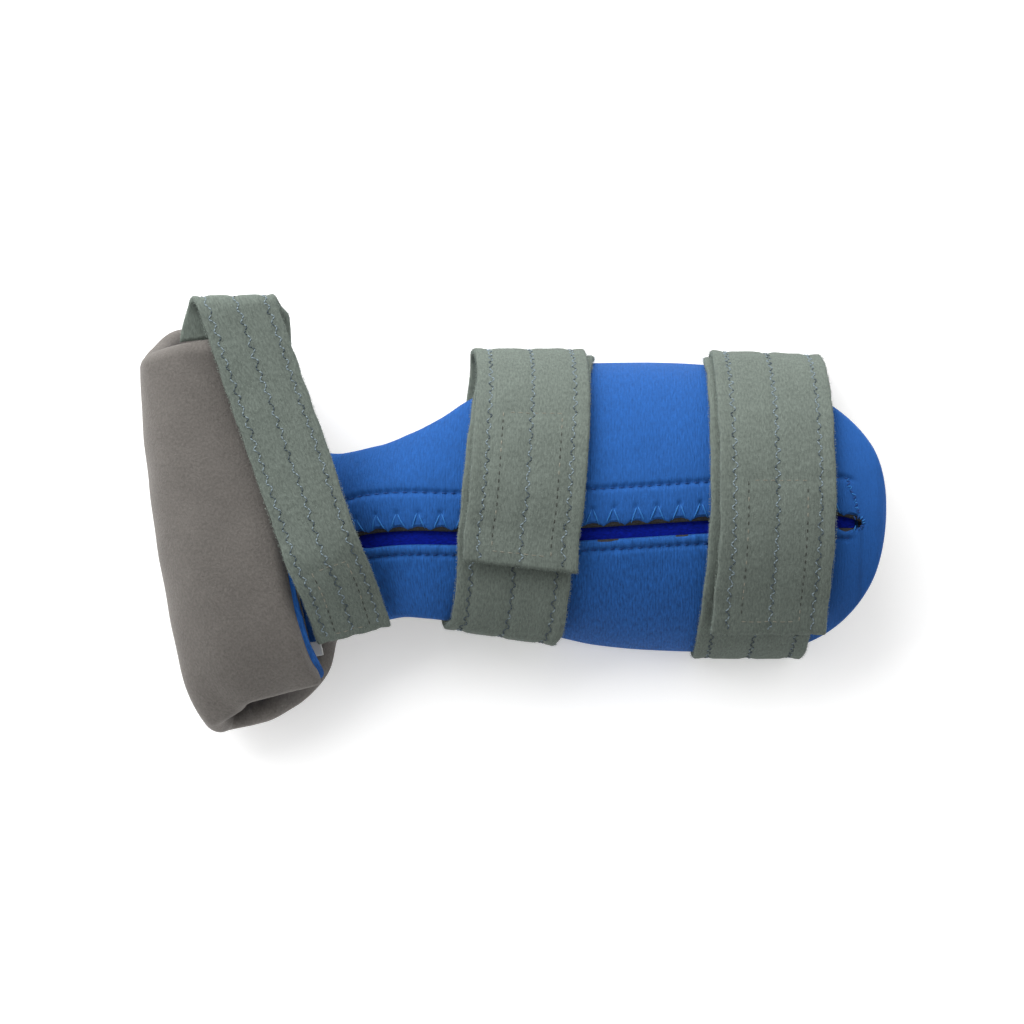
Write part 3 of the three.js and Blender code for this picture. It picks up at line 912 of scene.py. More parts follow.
@dataclass(frozen=True)
class KnitNeoprene:
    """Knit-faced neoprene: fine ribs across the sheet, pilled grain and a matte face; the dark rib streaks
    are partly knit colour and partly painted shade of the rib relief.
    """

    name: str
    colour: int
    rib: float = 1.0
    rib_length: float = 2.8
    rib_depth: float = 0.3
    rib_shade: float = 0.48
    grain_size: float = 0.75
    grain_depth: float = 0.07
    grain_shade: float = 0.88
    mottle: float = 0.93
    sheen: float = 0.1
    sheen_colour: int = 0x86AEE6
    rib_uneven: float = 0.94
    patch_size: float = 11.0
    taut_end: tuple[float, float] = (16.0, 32.0)
    # Object heights in millimetres over which the painted shade of the ribs grows from half strength on the
    # thumb's side to full strength on the little finger's side, where the light grazes.
    grazing_shade_side: tuple[float, float] = (5.0, -25.0)

    def material(self) -> Material:
        """Make the material.

        Returns:
            The material.
        """
        nodes = Nodes(self.name)
        bright = linear(self.colour)
        ribs = nodes.ribs(self.rib, self.rib_length, self.rib_uneven)
        grain = nodes.grains(self.grain_size, 3.0)
        # Shares of the rib streaks: they fade out towards the elbow end, and as painted shade they are at
        # half strength on the thumb's side and full on the little finger's side.
        rib_fade_and_grazing_shade = (
            nodes.fade(Space.SURFACE, "X", *self.taut_end, 0.2),
            nodes.fade(Space.OBJECT, "Y", *self.grazing_shade_side, 0.5),
        )
        # Dark rib streaks: knit colour and painted shade of the rib relief.
        streak = nodes.ramp(ribs, 0.3, 0.68, bright, self.rib_shade)
        streak = nodes.blend(dim(bright, (1 + self.rib_shade) / 2), streak, rib_fade_and_grazing_shade)
        speck = nodes.ramp(grain, 0.34, 0.62, WHITE, self.grain_shade)
        patch = nodes.ramp(nodes.grains(self.patch_size), 0.3, 0.7, WHITE, self.mottle)
        return nodes.finish(
            nodes.multiply(streak, speck, patch),
            nodes.bump(ribs, self.rib_depth, nodes.bump(grain, self.grain_depth)),
            Roughness=0.85,
            Sheen_Weight=self.sheen,
            Sheen_Roughness=0.45,
            Sheen_Tint=linear(self.sheen_colour),
            Specular_IOR_Level=0.2,
        )


@dataclass(frozen=True)
class BrushedLoop:
    """Brushed loop cloth of straps and tape: felted, fuzzy and uneven in colour."""

    name: str
    colour: int
    dark: float = 0.68
    fuzz: float = 0.2
    sheen: float = 0.3
    hair_size: tuple[float, float] = (1.5, 0.6)
    tuft_size: float = 1.5
    tuft_shade: float = 0.84
    patch_size: float = 14.0
    mottle: float = 0.93

    def material(self) -> Material:
        """Make the material.

        Returns:
            The material.
        """
        nodes = Nodes(self.name)
        bright = linear(self.colour)
        hairs = nodes.streaks(*self.hair_size, 3.0)
        tufts = nodes.grains(self.tuft_size, 3.0)
        hair = nodes.ramp(hairs, 0.34, 0.64, bright, self.dark)
        tuft = nodes.ramp(tufts, 0.3, 0.7, WHITE, self.tuft_shade)
        patch = nodes.ramp(nodes.grains(self.patch_size), 0.3, 0.7, WHITE, self.mottle)
        return nodes.finish(
            nodes.multiply(hair, tuft, patch),
            nodes.bump(tufts, self.fuzz, nodes.bump(hairs, self.fuzz)),
            Roughness=0.95,
            Sheen_Weight=self.sheen,
            Sheen_Roughness=0.6,
            Sheen_Tint=bright,
            Specular_IOR_Level=0.12,
        )


@dataclass(frozen=True)
class Thread:
    """Sewing thread: twisted, with a low gloss."""

    name: str
    colour: int
    dark: float = 0.6
    twist_size: float = 0.3
    depth: float = 0.05

    def material(self) -> Material:
        """Make the material.

        Returns:
            The material.
        """
        nodes = Nodes(self.name)
        twist = nodes.grains(self.twist_size)
        colour = nodes.ramp(twist, 0.3, 0.7, linear(self.colour), self.dark)
        return nodes.finish(colour, nodes.bump(twist, self.depth), Roughness=0.6, Specular_IOR_Level=0.25)


@dataclass(frozen=True)
class PlainCloth:
    """Plain matte stuff with a fine grain, for cut foam, label and floor."""

    name: str
    colour: int
    grain: float = 0.5
    depth: float = 0.1
    dark: float = 0.8
    glow: float = 0.0

    def material(self) -> Material:
        """Make the material.

        Returns:
            The material.
        """
        nodes = Nodes(self.name)
        bright = linear(self.colour)
        grain = nodes.grains(self.grain)
        return nodes.finish(
            nodes.ramp(grain, 0.3, 0.7, bright, self.dark),
            nodes.bump(grain, self.depth),
            Roughness=0.9,
            Specular_IOR_Level=0.2,
            Emission_Color=bright,
            Emission_Strength=self.glow,
        )


COVER_CLOTH = KnitNeoprene("blue_neoprene", 0x2460AE)
LINING_CLOTH = KnitNeoprene(
    "grey_neoprene",
    0x6B6763,
    rib=1.3,
    rib_length=1.5,
    rib_depth=0.16,
    rib_shade=0.84,
    grain_size=0.8,
    grain_depth=0.2,
    grain_shade=0.8,
    mottle=0.9,
    sheen=0.22,
    sheen_colour=0xD8D4D0,
    rib_uneven=1.0,
)
STRAP_CLOTH = BrushedLoop("sage_loop", 0x6D766F)
# Lighter copy of the strap cloth for the nap fibres: a painted sheen on the fuzz.
SHEEN_NAP_FIBRE = BrushedLoop("sage_nap_painted_sheen", 0x98A49C)
TAPE_CLOTH = BrushedLoop("royal_loop", 0x08209C, 0.5, 0.2, 0.0)
CUT_FOAM = PlainCloth("cut_foam", 0x3E3D3D, 0.6, 0.15, 0.4)
LABEL_CLOTH = PlainCloth("label_weave", 0xC8C8C6, 0.35, 0.03, 0.92)
HEM_THREAD = Thread("light_blue_thread", 0x2F76C0)
SEAM_THREAD = Thread("blue_thread", 0x1C4688)
SLATE_THREAD = Thread("slate_thread", 0x84939B)
# Dark copy of the slate thread: painted shade of the zigzag stitches.
SHADE_SLATE_THREAD = Thread("painted_shade_slate_thread", 0x48545B)
PATCH_THREAD = Thread("beige_thread", 0x8F8B7E)
# Charcoal dashes stand for the needle holes of the patch rows: painted shade.
HOLE_SHADE_THREAD = Thread("painted_hole_shade_thread", 0x3A3B36)
FLOOR_FINISH = PlainCloth("light_table", 0xFAFAFA, 3.0, 0.01, 0.99, 0.3)

Finish = KnitNeoprene | BrushedLoop | Thread | PlainCloth


class Wardrobe:
    """Materials made once and shared by the pieces."""

    def __init__(self) -> None:
        """Start empty."""
        self.made: dict[str, Material] = {}

    def get(self, finish: Finish) -> Material:
        """The material of a finish.

        Args:
            finish: Finish that is wanted.

        Returns:
            Its material, made on first use.
        """
        if finish.name not in self.made:
            self.made[finish.name] = finish.material()
        return self.made[finish.name]

    def dress(self, piece: Piece, *finishes: Finish) -> None:
        """Give a piece its materials, in the order of its faces' numbers."""
        for finish in finishes:
            piece.data.materials.append(self.get(finish))


@dataclass(frozen=True)
class StitchSpec:
    """Size of a thread: radius, how far a stitch arches up and how deep its ends sink."""

    radius: float = 0.26
    arch: float = 0.3
    sink: float = 0.2
    samples: int = 6
    sides: int = 6


class Stitches:
    """Collects the stitches of one piece and makes them one mesh."""

    FIBRE_FACES = ((0, 1, 3), (1, 2, 3), (2, 0, 3), (2, 1, 0))

    def __init__(self, name: str, finishes: Sequence[Thread], seed: int) -> None:
        """Start with no stitches.

        Args:
            name: Name of the piece.
            finishes: Threads and fibres by number.
            seed: Number that picks the chances.
        """
        self.name = name
        self.finishes = tuple(finishes)
        self.chance = np.random.default_rng(seed)
        self.points: list[Array] = []
        self.faces: list[list[int]] = []
        self.numbers: list[int] = []
        self.total = 0

    def sew(self, starts: Array, ends: Array, place: Placer, spec: StitchSpec, choice: Sequence[int]) -> None:
        """Add one short thread from each start to each end.

        Args:
            starts: Pairs of surface coordinates where stitches come up.
            ends: Pairs of surface coordinates where they go down.
            place: Gives points and normals for pairs of surface coordinates.
            spec: Size of the thread.
            choice: Numbers of the finishes that the stitches take by chance.
        """
        share = np.linspace(0, 1, spec.samples)
        pairs = starts[:, None] * (1 - share)[None, :, None] + ends[:, None] * share[None, :, None]
        points, normals = place(pairs.reshape(-1, 2))
        shape = (len(starts), spec.samples, 3)
        points, normals = points.reshape(shape), normals.reshape(shape)
        arch = np.sin(math.pi * share)
        points = points + normals * (spec.arch * arch - spec.sink * (1 - arch))[None, :, None]
        along = unit(np.gradient(points, axis=1))
        sideways = unit(np.cross(along, normals))
        upward = np.cross(sideways, along)
        radius = spec.radius * (0.45 + 0.55 * np.sqrt(arch))
        turn = np.arange(spec.sides) * 2 * math.pi / spec.sides
        spokes = (
            sideways[:, :, None] * np.cos(turn)[None, None, :, None]
            + upward[:, :, None] * np.sin(turn)[None, None, :, None]
        )
        rings = points[:, :, None] + spokes * radius[None, :, None, None]
        self.points.append(rings.reshape(-1, 3))
        size = spec.samples * spec.sides
        pick = self.chance.choice(choice, len(starts))
        for stitch in range(len(starts)):
            self._close(self.total + stitch * size, spec, int(pick[stitch]))
        self.total += len(starts) * size

    def _close(self, base: int, spec: StitchSpec, number: int) -> None:
        """Faces of one stitch, ends included.

        Args:
            base: Number of the stitch's first point.
            spec: Size of the thread.
            number: Number of its finish.
        """
        for ring in range(spec.samples - 1):
            low = base + ring * spec.sides
            for i in range(spec.sides):
                after = (i + 1) % spec.sides
                self.faces.append([low + i, low + after, low + spec.sides + after, low + spec.sides + i])
        last = base + (spec.samples - 1) * spec.sides
        self.faces.append([base + i for i in range(spec.sides)][::-1])
        self.faces.append([last + i for i in range(spec.sides)])
        self.numbers += [number] * ((spec.samples - 1) * spec.sides + 2)

    def bristle(self, roots: Array, reach: Array, radius: float, number: int) -> None:
        """Add one fine three-sided fibre at each root.

        Args:
            roots: Points from which the fibres grow.
            reach: Way from each root to its tip.
            radius: Radius of a fibre at its root.
            number: Number of the finish.
        """
        sideways = unit(np.cross(reach, self.chance.normal(0, 1, reach.shape)))
        upward = unit(np.cross(sideways, reach))
        corners = [
            roots + radius * (sideways * math.cos(turn) + upward * math.sin(turn))
            for turn in (0.0, 2 * math.pi / 3, 4 * math.pi / 3)
        ]
        self.points.append(np.stack([*corners, roots + reach], axis=1).reshape(-1, 3))
        for base in range(self.total, self.total + 4 * len(roots), 4):
            self.faces += [[base + corner for corner in face] for face in self.FIBRE_FACES]
        self.numbers += [number] * (4 * len(roots))
        self.total += 4 * len(roots)

    def build(self, wardrobe: Wardrobe) -> Piece:
        """The stitches as one object.

        Args:
            wardrobe: Materials of the scene.

        Returns:
            The new object.
        """
        made = Builder.mesh(self.name, np.concatenate(self.points), self.faces)
        wardrobe.dress(made, *self.finishes)
        made.data.polygons.foreach_set("material_index", np.array(self.numbers, np.int32))
        return made


def dashes(start: Array, end: Array, pitch: float, share: float = 0.72) -> tuple[Array, Array]:
    """Starts and ends of straight stitches along a line in surface coordinates.

    Args:
        start: First pair of coordinates.
        end: Last pair of coordinates.
        pitch: Distance from stitch to stitch.
        share: Length of a stitch as a share of the pitch.

    Returns:
        Starts and ends of the stitches.
    """
    length = float(np.linalg.norm(end - start))
    places = np.arange(0, max(length - pitch * share, pitch * 0.5), pitch) / length
    first = start + (end - start) * places[:, None]
    return first, first + (end - start) * (pitch * share / length)


def joined(points: Array) -> tuple[Array, Array]:
    """Starts and ends of stitches from point to point."""
    return points[:-1], points[1:]


def report(piece: Piece) -> None:
    """Log a piece with its faces."""
    LOG.info("%s: %d faces", piece.name, len(piece.data.polygons))


@dataclass
class SlitLines:
    """Lines that follow the closure slit, as distances across the crown."""

    hem_width: float = 12.0
    lower_row: float = 3.0
    vee_pitch: float = 7.2
    vee_height: float = 5.9
    vee_half: float = 2.3
    foam: float = 1.0
    seam_pitch: float = 3.1
    first: float = 10.0
    last: float = 180.0
    opening: tuple[float, float] = (7.5, 9.5)
    closing: tuple[float, float] = (181.0, 183.0)
    hem_start: tuple[float, float] = (9.0, 14.0)
    hem_end: tuple[float, float] = (178.0, 184.0)

    def __post_init__(self) -> None:
        """Make curves of the table."""
        self.middle = track(SLIT, "along", "middle")
        self.width = track(SLIT, "along", "width")

    def upper(self, along: Array) -> Array:
        """Cut foam edge of the lip on the thumb's side."""
        return self.middle(along) + self.width(along) / 2 - self.foam * self.open(along)

    def lower(self, along: Array) -> Array:
        """Lip on the little finger's side."""
        return self.middle(along) - self.width(along) / 2

    def open(self, along: Array) -> Array:
        """Share by which the slit is open."""
        return ease(along, *self.opening) * (1 - ease(along, *self.closing))

    def sewn(self, along: Array) -> Array:
        """Share by which the hem shows."""
        return ease(along, *self.hem_start) * (1 - ease(along, *self.hem_end))

    def vee(self, along: Array) -> Array:
        """Height of the zigzag thread over the upper lip."""
        return self.vee_height * (1 - np.abs(self.nearest(along, 0.5)) / self.vee_half)

    def nearest(self, along: Array, shift: float) -> Array:
        """Distance to the nearest repeat of the zigzag, shifted by a share of its pitch."""
        place = along / self.vee_pitch - shift
        return (place - np.round(place)) * self.vee_pitch


@dataclass
class OuterCover:
    """Blue outer layer with the open slit, its hem and its cut foam edges."""

    sheet: PaddedSheet
    lines: SlitLines
    hidden_points: int = 24
    rim_points: int = 44
    hem_points: int = 32
    low_points: int = 14
    scallop: float = 1.5
    low_scallop: float = 0.5
    end_foam: Dent = Dent(0.9, 1.9, 13.6)
    lip_edge: float = 1.8
    lip: tuple[Point, ...] = (
        (0.4, 1.1, 0.06), (0.12, 1.0, 0.35), (0.05, 0.95, 0.6), (0.0, 0.45, 0.8),
        (0.0, 0.0, 1.2), (0.0, 0.0, 1.9), (0.2, 0.0, 2.3),
    )
    pocket: float = 8.8
    floor: float = 0.3
    wall_top: float = 1.95
    row_margin: float = 3.0
    uneven: float = 0.14
    hem_puff: float = 0.3
    hem_dent: Dent = Dent(1.2, 0.9)
    foot_dent: Dent = Dent(0.8, 1.6)
    apex_dent: Dent = Dent(0.6, 0.9)
    thread_dent: Dent = Dent(0.3, 0.55 / 0.6)
    low_dent: Dent = Dent(1.1, 0.9)
    low_puff: Dent = Dent(0.4, 1.2, 1.3)
    low_pull: Dent = Dent(0.45, 1.6, 1.8)

    def stations(self) -> Array:
        """Distances along the cover at which it has rings.

        Returns:
            Rising distances, closest at both ends.
        """
        end = self.sheet.spine.length
        return np.concatenate([
            0.05 + 20 * np.linspace(0, 1, 46) ** 2,
            np.arange(20.7, 186, 0.7),
            np.arange(186, 222, 0.6),
            np.linspace(222, 305, 80),
            end - 6 * (1 - np.sin(np.linspace(0, math.pi / 2, 14)[1:-1])) - 0.05,
        ])

    def relief(self, along: Array, across: Array) -> Array:
        """Height of dents, hem and unevenness on the outer face.

        Args:
            along: Distances along the sheet.
            across: Level distances from the crown.

        Returns:
            Height over the plain face in millimetres.
        """
        lines = self.lines
        over, under = across - lines.upper(along), lines.lower(along) - across
        tight = 0.75 + 0.25 * np.cos(2 * math.pi * along / lines.seam_pitch)
        foot, apex = lines.nearest(along, 0.0), lines.nearest(along, 0.5)
        dents = tight * self.hem_dent.at(over - lines.hem_width)
        dents = dents + bell(foot, 1.2) * self.foot_dent.at(over)
        dents = dents + bell(apex, 0.8) * self.apex_dent.at(over - lines.vee_height)
        dents = dents + self.thread_dent.at(over - lines.vee(along))
        dents = dents + tight * self.low_dent.at(under - lines.lower_row)
        dents = dents + bell(apex, 1.0) * self.low_pull.at(under)
        puff = self.hem_puff * np.sin(math.pi * np.clip(over / lines.hem_width, 0, 1))
        puff = puff + self.low_puff.at(under)
        return lines.sewn(along) * (puff - dents) + self.uneven * ripple(along, across, 26, 3)

    def low_back(self, along: Array) -> Array:
        """How far the cloth stands back from the foam of the lower lip."""
        bare = np.clip(ripple(along, 0 * along, 17, 6) - 0.1, 0, 1)
        return self.low_scallop * bare + self.end_foam.at(along)

    def groove(self, along: Array, half: Array) -> tuple[Array, Array]:
        """Profile of the slit from lip to lip: distances across and heights, a row for each station.

        Args:
            along: Distances along the sheet.
            half: Half the thickness at each distance.

        Returns:
            Distances across and heights, from the thumb's lip to the other.
        """
        lines = self.lines
        opened = lines.open(along)
        back = self.scallop * np.abs(np.sin(math.pi * along / lines.vee_pitch)) ** 0.6
        back = back + 0.15 * ripple(along, 0 * along, 5, 5)
        low = self.low_back(along)
        rows = [(1, a, b, half - h) for a, b, h in self.lip]
        deep = self.pocket - lines.width(along) / 2
        top, floor = np.full_like(half, self.wall_top), np.full_like(half, self.floor)
        rows += [(1, deep, 0, top), (1, deep, 0, floor), (-1, deep, 0, floor), (-1, deep, 0, top)]
        rows += [(-1, a, b, half - h) for a, b, h in reversed(self.lip)]
        across, heights = [], []
        for sign, shift, swell, height in rows:
            line = lines.upper(along) if sign > 0 else lines.lower(along)
            across.append(line + sign * (shift + swell * (back if sign > 0 else low)))
            heights.append(half - (half - height) * opened)
        start, end = lines.upper(along) + self.lip_edge, lines.lower(along) - self.lip_edge
        shut = start[:, None] + (end - start)[:, None] * np.linspace(0, 1, len(rows) + 2)[None, 1:-1]
        mixed = shut + (np.stack(across, axis=1) - shut) * opened[:, None]
        return mixed, np.stack(heights, axis=1)

    def edge(self, at: Stations, across: Array, least: float, most: float) -> Array:
        """Share across at distances from the crown, held to two limits."""
        return np.clip(self.sheet.share_across(at, across[:, None]), least, most)

    def rim(self, at: Stations, sign: float, edge: Array) -> Array:
        """Skin from the seam with the lining round a rim to an edge on the outer face.

        Args:
            at: Stations along the sheet.
            sign: 1 for the thumb's rim, -1 for the little finger's.
            edge: Share across at the edge.

        Returns:
            Points in the section plane.
        """
        sheet, around = self.sheet, math.pi * at.half
        speed = sheet.middle(at, np.full_like(at.half, sign)).speed
        seam = sheet.seam(at, sign)[0] + sheet.layer_gap / 2
        run = np.linspace(0, 1, self.rim_points)[None]
        distance = (around + (1 - sign * edge) * speed - seam) * run + seam
        share = sign * (1 - np.maximum(distance - around, 0) / speed)
        relief = self.relief(at.along[:, None], sheet.middle(at, share).point[..., 0])
        return sheet.skin(at, sign, distance, relief * ease(1 - np.abs(share), 0.02, 0.2))

    def band(self, at: Stations, start: Array, end: Array, count: int) -> tuple[Array, Array]:
        """Outer face between two shares across.

        Args:
            at: Stations along the sheet.
            start: First share.
            end: Last share.
            count: Number of points.

        Returns:
            Points in the section plane, and the height of the relief.
        """
        share = start + (end - start) * np.linspace(0, 1, count)[None]
        height = self.relief(at.along[:, None], self.sheet.middle(at, share).point[..., 0])
        return self.sheet.face(at, share, at.half + height), height

    def meeting(self, at: Stations) -> Array:
        """Face that lies on the lining, a gap inside the seams.

        Args:
            at: Stations along the sheet.

        Returns:
            Points in the section plane.
        """
        sheet = self.sheet
        ends = []
        for sign in (-1.0, 1.0):
            speed = sheet.middle(at, np.full_like(at.half, sign)).speed
            ends.append(sign * (sheet.seam(at, sign)[1] - sheet.layer_gap / speed))
        hidden = np.linspace(0, 1, self.hidden_points)[None]
        share = ends[0] + (ends[1] - ends[0]) * hidden
        return sheet.face(at, share, np.full_like(at.half, sheet.layer_gap / 2))

    def build(self, wardrobe: Wardrobe) -> Piece:
        """Make the cover as one closed body.

        Args:
            wardrobe: Materials of the scene.

        Returns:
            The new object.
        """
        sheet, lines = self.sheet, self.lines
        along = self.stations()
        at = sheet.stations(along, sheet.spine.length)
        above, below = lines.upper(along), lines.lower(along)
        hem = self.edge(at, above + lines.hem_width + self.row_margin, -0.5, 0.93)
        low = self.edge(at, below - lines.lower_row - self.row_margin, -0.95, 0.5)
        upper = self.edge(at, above + self.lip_edge, -0.86, 0.88)
        lower = self.edge(at, below - self.lip_edge, -0.92, 0.82)
        hem_band, hem_relief = self.band(at, hem, upper, self.hem_points)
        low_band, low_relief = self.band(at, lower, low, self.low_points)
        across, heights = self.groove(along, at.half[:, 0])
        fade = np.linspace(0, 1, across.shape[1])[None]
        share = np.clip(sheet.share_across(at, across), -0.87 - 0.04 * fade, 0.87 - 0.04 * fade)
        carried = hem_relief[:, -1:] * (1 - fade) + low_relief[:, :1] * fade
        slit = sheet.face(at, share, heights + carried * (heights > at.half - 1))
        thumb_rim, little_rim = self.rim(at, 1.0, hem), self.rim(at, -1.0, low)
        parts = [self.meeting(at), thumb_rim, hem_band[:, 1:], slit, low_band[:, :-1], little_rim[:, ::-1]]
        made = Builder.layer("cover", sheet, at, np.concatenate(parts, axis=1))
        wardrobe.dress(made, COVER_CLOTH, CUT_FOAM)
        first = sum(part.shape[1] for part in parts[:3])
        wall = np.zeros((len(along) - 1, sum(part.shape[1] for part in parts)), np.int32)
        inside = lines.open(along[1:]) > 0.5
        floor = first + len(self.lip) + 2
        wall[:, first + 2:floor] = inside[:, None]
        wall[:, floor:first + across.shape[1] - 3] = (inside & (self.low_back(along[1:]) > 0.2))[:, None]
        numbers = np.zeros(len(made.data.polygons), np.int32)
        numbers[:wall.size] = wall.ravel()
        made.data.polygons.foreach_set("material_index", numbers)
        return made


@dataclass
class HemStitches:
    """Threads on the cover: zigzag of the lip, rows of the hem, and the bar tack at the slit's end."""

    sheet: PaddedSheet
    lines: SlitLines
    zigzag: StitchSpec = StitchSpec(0.24, 0.25, 0.2)
    seam: StitchSpec = StitchSpec(0.24, 0.12, 0.3)
    foot_height: float = 0.9
    seam_share: float = 0.75
    end_stitches: int = 17
    end_after: float = 3.0
    end_lean: float = 3.6
    end_fall: float = 10.5
    end_swing: float = 0.7
    tack_stitches: int = 9
    tack_along: float = 9.6
    tack_reach: tuple[float, float] = (1.2, 2.6)

    def place(self, pairs: Array) -> tuple[Array, Array]:
        """Points and normals of the dented cover.

        Args:
            pairs: Distances along and across.

        Returns:
            Points and unit normals, one for each pair.
        """
        along, across = pairs[:, 0], pairs[:, 1]
        points, normals = self.sheet.place(along, across, 0.0)
        relief = OuterCover(self.sheet, self.lines).relief(along, across)
        return points + normals * relief[:, None], normals

    def build(self, wardrobe: Wardrobe) -> Piece:
        """Make all threads of the hem.

        Args:
            wardrobe: Materials of the scene.

        Returns:
            The new object.
        """
        lines = self.lines
        sewn = Stitches("hem_stitches", (HEM_THREAD, SEAM_THREAD), 11)
        count = np.arange(math.ceil(lines.first / lines.vee_pitch), int(lines.last / lines.vee_pitch))
        apex = (count + 0.5) * lines.vee_pitch + sewn.chance.normal(0, 0.25, len(count))
        top = np.stack([apex, lines.upper(apex) + lines.vee_height], axis=1)
        for side in (-lines.vee_half, lines.vee_half):
            base = apex + side + sewn.chance.normal(0, 0.2, len(count))
            foot = np.stack([base, lines.upper(base) + self.foot_height], axis=1)
            sewn.sew(foot, top + (0.15 * np.sign(side), 0.0), self.place, self.zigzag, (0,))
        for line, shift in ((lines.upper, lines.hem_width), (lines.lower, -lines.lower_row)):
            along = np.arange(lines.first + 2, lines.last, lines.seam_pitch)
            first = np.stack([along, line(along) + shift], axis=1)
            after = along + self.seam_share * lines.seam_pitch
            sewn.sew(first, np.stack([after, line(after) + shift], axis=1), self.place, self.seam, (1,))
        self._end_row(sewn)
        self._bar_tack(sewn)
        return sewn.build(wardrobe)

    def _end_row(self, sewn: Stitches) -> None:
        """Row that closes the hem at the elbow end.

        Args:
            sewn: Stitches to add to.
        """
        along = self.lines.first + self.end_after
        top = float(self.lines.upper(np.array(along))) + self.lines.hem_width
        fall = np.linspace(0, 1, self.end_stitches)
        swing = np.where(np.arange(self.end_stitches) % 2, self.end_swing, -self.end_swing)
        points = np.stack([along - self.end_lean * fall + swing, top - self.end_fall * fall], axis=1)
        points = points + sewn.chance.normal(0, 0.25, points.shape)
        sewn.sew(*joined(points), self.place, self.seam, (0, 1, 1, 1))

    def _bar_tack(self, sewn: Stitches) -> None:
        """Stitches in a fan round the end of the slit.

        Args:
            sewn: Stitches to add to.
        """
        angle = np.radians(np.linspace(-125, 125, self.tack_stitches))
        fan = np.stack([-np.cos(angle), np.sin(angle)], axis=1)
        middle = np.array([self.tack_along, float(self.lines.middle(np.array(self.tack_along)))])
        starts = middle + fan * self.tack_reach[0] + sewn.chance.normal(0, 0.15, fan.shape)
        ends = middle + fan * self.tack_reach[1] + sewn.chance.normal(0, 0.3, fan.shape)
        sewn.sew(starts, ends, self.place, self.seam, (0, 1, 1, 1, 1))


@dataclass
class Lining:
    """Warm grey inner layer, which wraps over the rims and is the outside of the curled grip."""

    sheet: PaddedSheet
    hidden_points: int = 24
    rim_points: int = 30
    face_points: int = 60
    uneven: float = 0.22
    press: float = 2.8
    press_side: tuple[float, float] = (-4.0, 12.0)
    press_low: tuple[float, float] = (-48.0, -10.0)
    press_start: tuple[float, float] = (270.0, 288.0)
    press_line: tuple[tuple[float, float], tuple[float, float]] = ((-103.1, 65.5), (-64.7, -41.4))

    def pressed(self, points: Array, along: Array) -> Array:
        """How far the slab is pressed in beside and under the hand strap.

        Args:
            points: Points of the plain slab.
            along: Distance of each along the sheet.

        Returns:
            Depth in millimetres.
        """
        start, end = np.array(self.press_line)
        way = unit(end - start)
        left = (points[..., 0] - start[0]) * way[1] - (points[..., 1] - start[1]) * way[0]
        near = (1 - ease(left, *self.press_side)) * ease(points[..., 1], *self.press_low)
        return self.press * near * ease(along, *self.press_start)

    def build(self, wardrobe: Wardrobe) -> Piece:
        """Make the lining as one closed body.

        Args:
            wardrobe: Materials of the scene.

        Returns:
            The new object.
        """
        sheet = self.sheet
        end = sheet.spine.length - sheet.cover_past_lining
        along = np.concatenate([
            0.05 + 20 * np.linspace(0, 1, 40) ** 2,
            np.arange(21.5, 186, 1.5),
            np.arange(186, 222, 0.7),
            np.linspace(222.6, 303, 90),
            end - 6 * (1 - np.sin(np.linspace(0, math.pi / 2, 14)[1:-1])) - 0.05,
        ])
        at = sheet.stations(along, end)
        column, gap = along[:, None], sheet.layer_gap / 2
        thumb, little = sheet.seam(at, 1), sheet.seam(at, -1)
        hidden = np.linspace(0, 1, self.hidden_points)[None]
        shares = -little[1] + (thumb[1] + little[1]) * hidden
        meeting = sheet.face(at, shares, np.full_like(at.half, -gap))
        run = np.linspace(0, 1, self.rim_points)[None]
        thumb_rim = sheet.skin(at, 1, (thumb[0] - gap) * run)
        little_rim = sheet.skin(at, -1, (little[0] - gap) * run)
        share = np.linspace(1, -1, self.face_points)[None] + 0 * column
        uneven = self.uneven * ripple(column, sheet.middle(at, share).point[..., 0], 30, 8) * (1 - share**4)
        plain = sheet.in_space(at, sheet.face(at, share, -at.half))
        uneven = uneven - self.pressed(plain, column) * (1 - share**8)
        inner = sheet.face(at, share, -at.half - uneven)[:, 1:-1]
        flat = np.concatenate([meeting, thumb_rim[:, ::-1], inner, little_rim], axis=1)
        made = Builder.layer("lining_pad", sheet, at, flat)
        wardrobe.dress(made, LINING_CLOTH)
        return made


@dataclass
class ClosureStrip:
    """Royal blue loop tape on the floor of the slit."""

    sheet: PaddedSheet
    lines: SlitLines
    bottom: float = 0.45
    top: float = 1.7
    half_width: float = 8.5
    start: float = 10.5
    end: float = 179.5
    points: int = 9

    def build(self, wardrobe: Wardrobe) -> Piece:
        """Make the tape as one closed body.

        Args:
            wardrobe: Materials of the scene.

        Returns:
            The new object.
        """
        along = np.arange(self.start, self.end, 0.8)
        at = self.sheet.stations(along, self.sheet.spine.length)
        middle = self.lines.middle(along)
        lower, upper = middle - self.half_width, middle + self.half_width
        spread = np.linspace(0, 1, self.points)[None]
        across = lower[:, None] + (upper - lower)[:, None] * spread
        across = np.concatenate([across, across[:, ::-1]], axis=1)
        pile = self.top + 0.1 * ripple(along[:, None], across[:, self.points:], 4, 9)
        height = np.concatenate([np.full((len(along), self.points), self.bottom), pile], axis=1)
        flat = self.sheet.face(at, self.sheet.share_across(at, across), height)
        rings = self.sheet.in_space(at, flat)
        made = Builder.rings("closure_tape", rings, np.stack([along[:, None] + 0 * across, across], axis=-1))
        wardrobe.dress(made, TAPE_CLOTH)
        return made


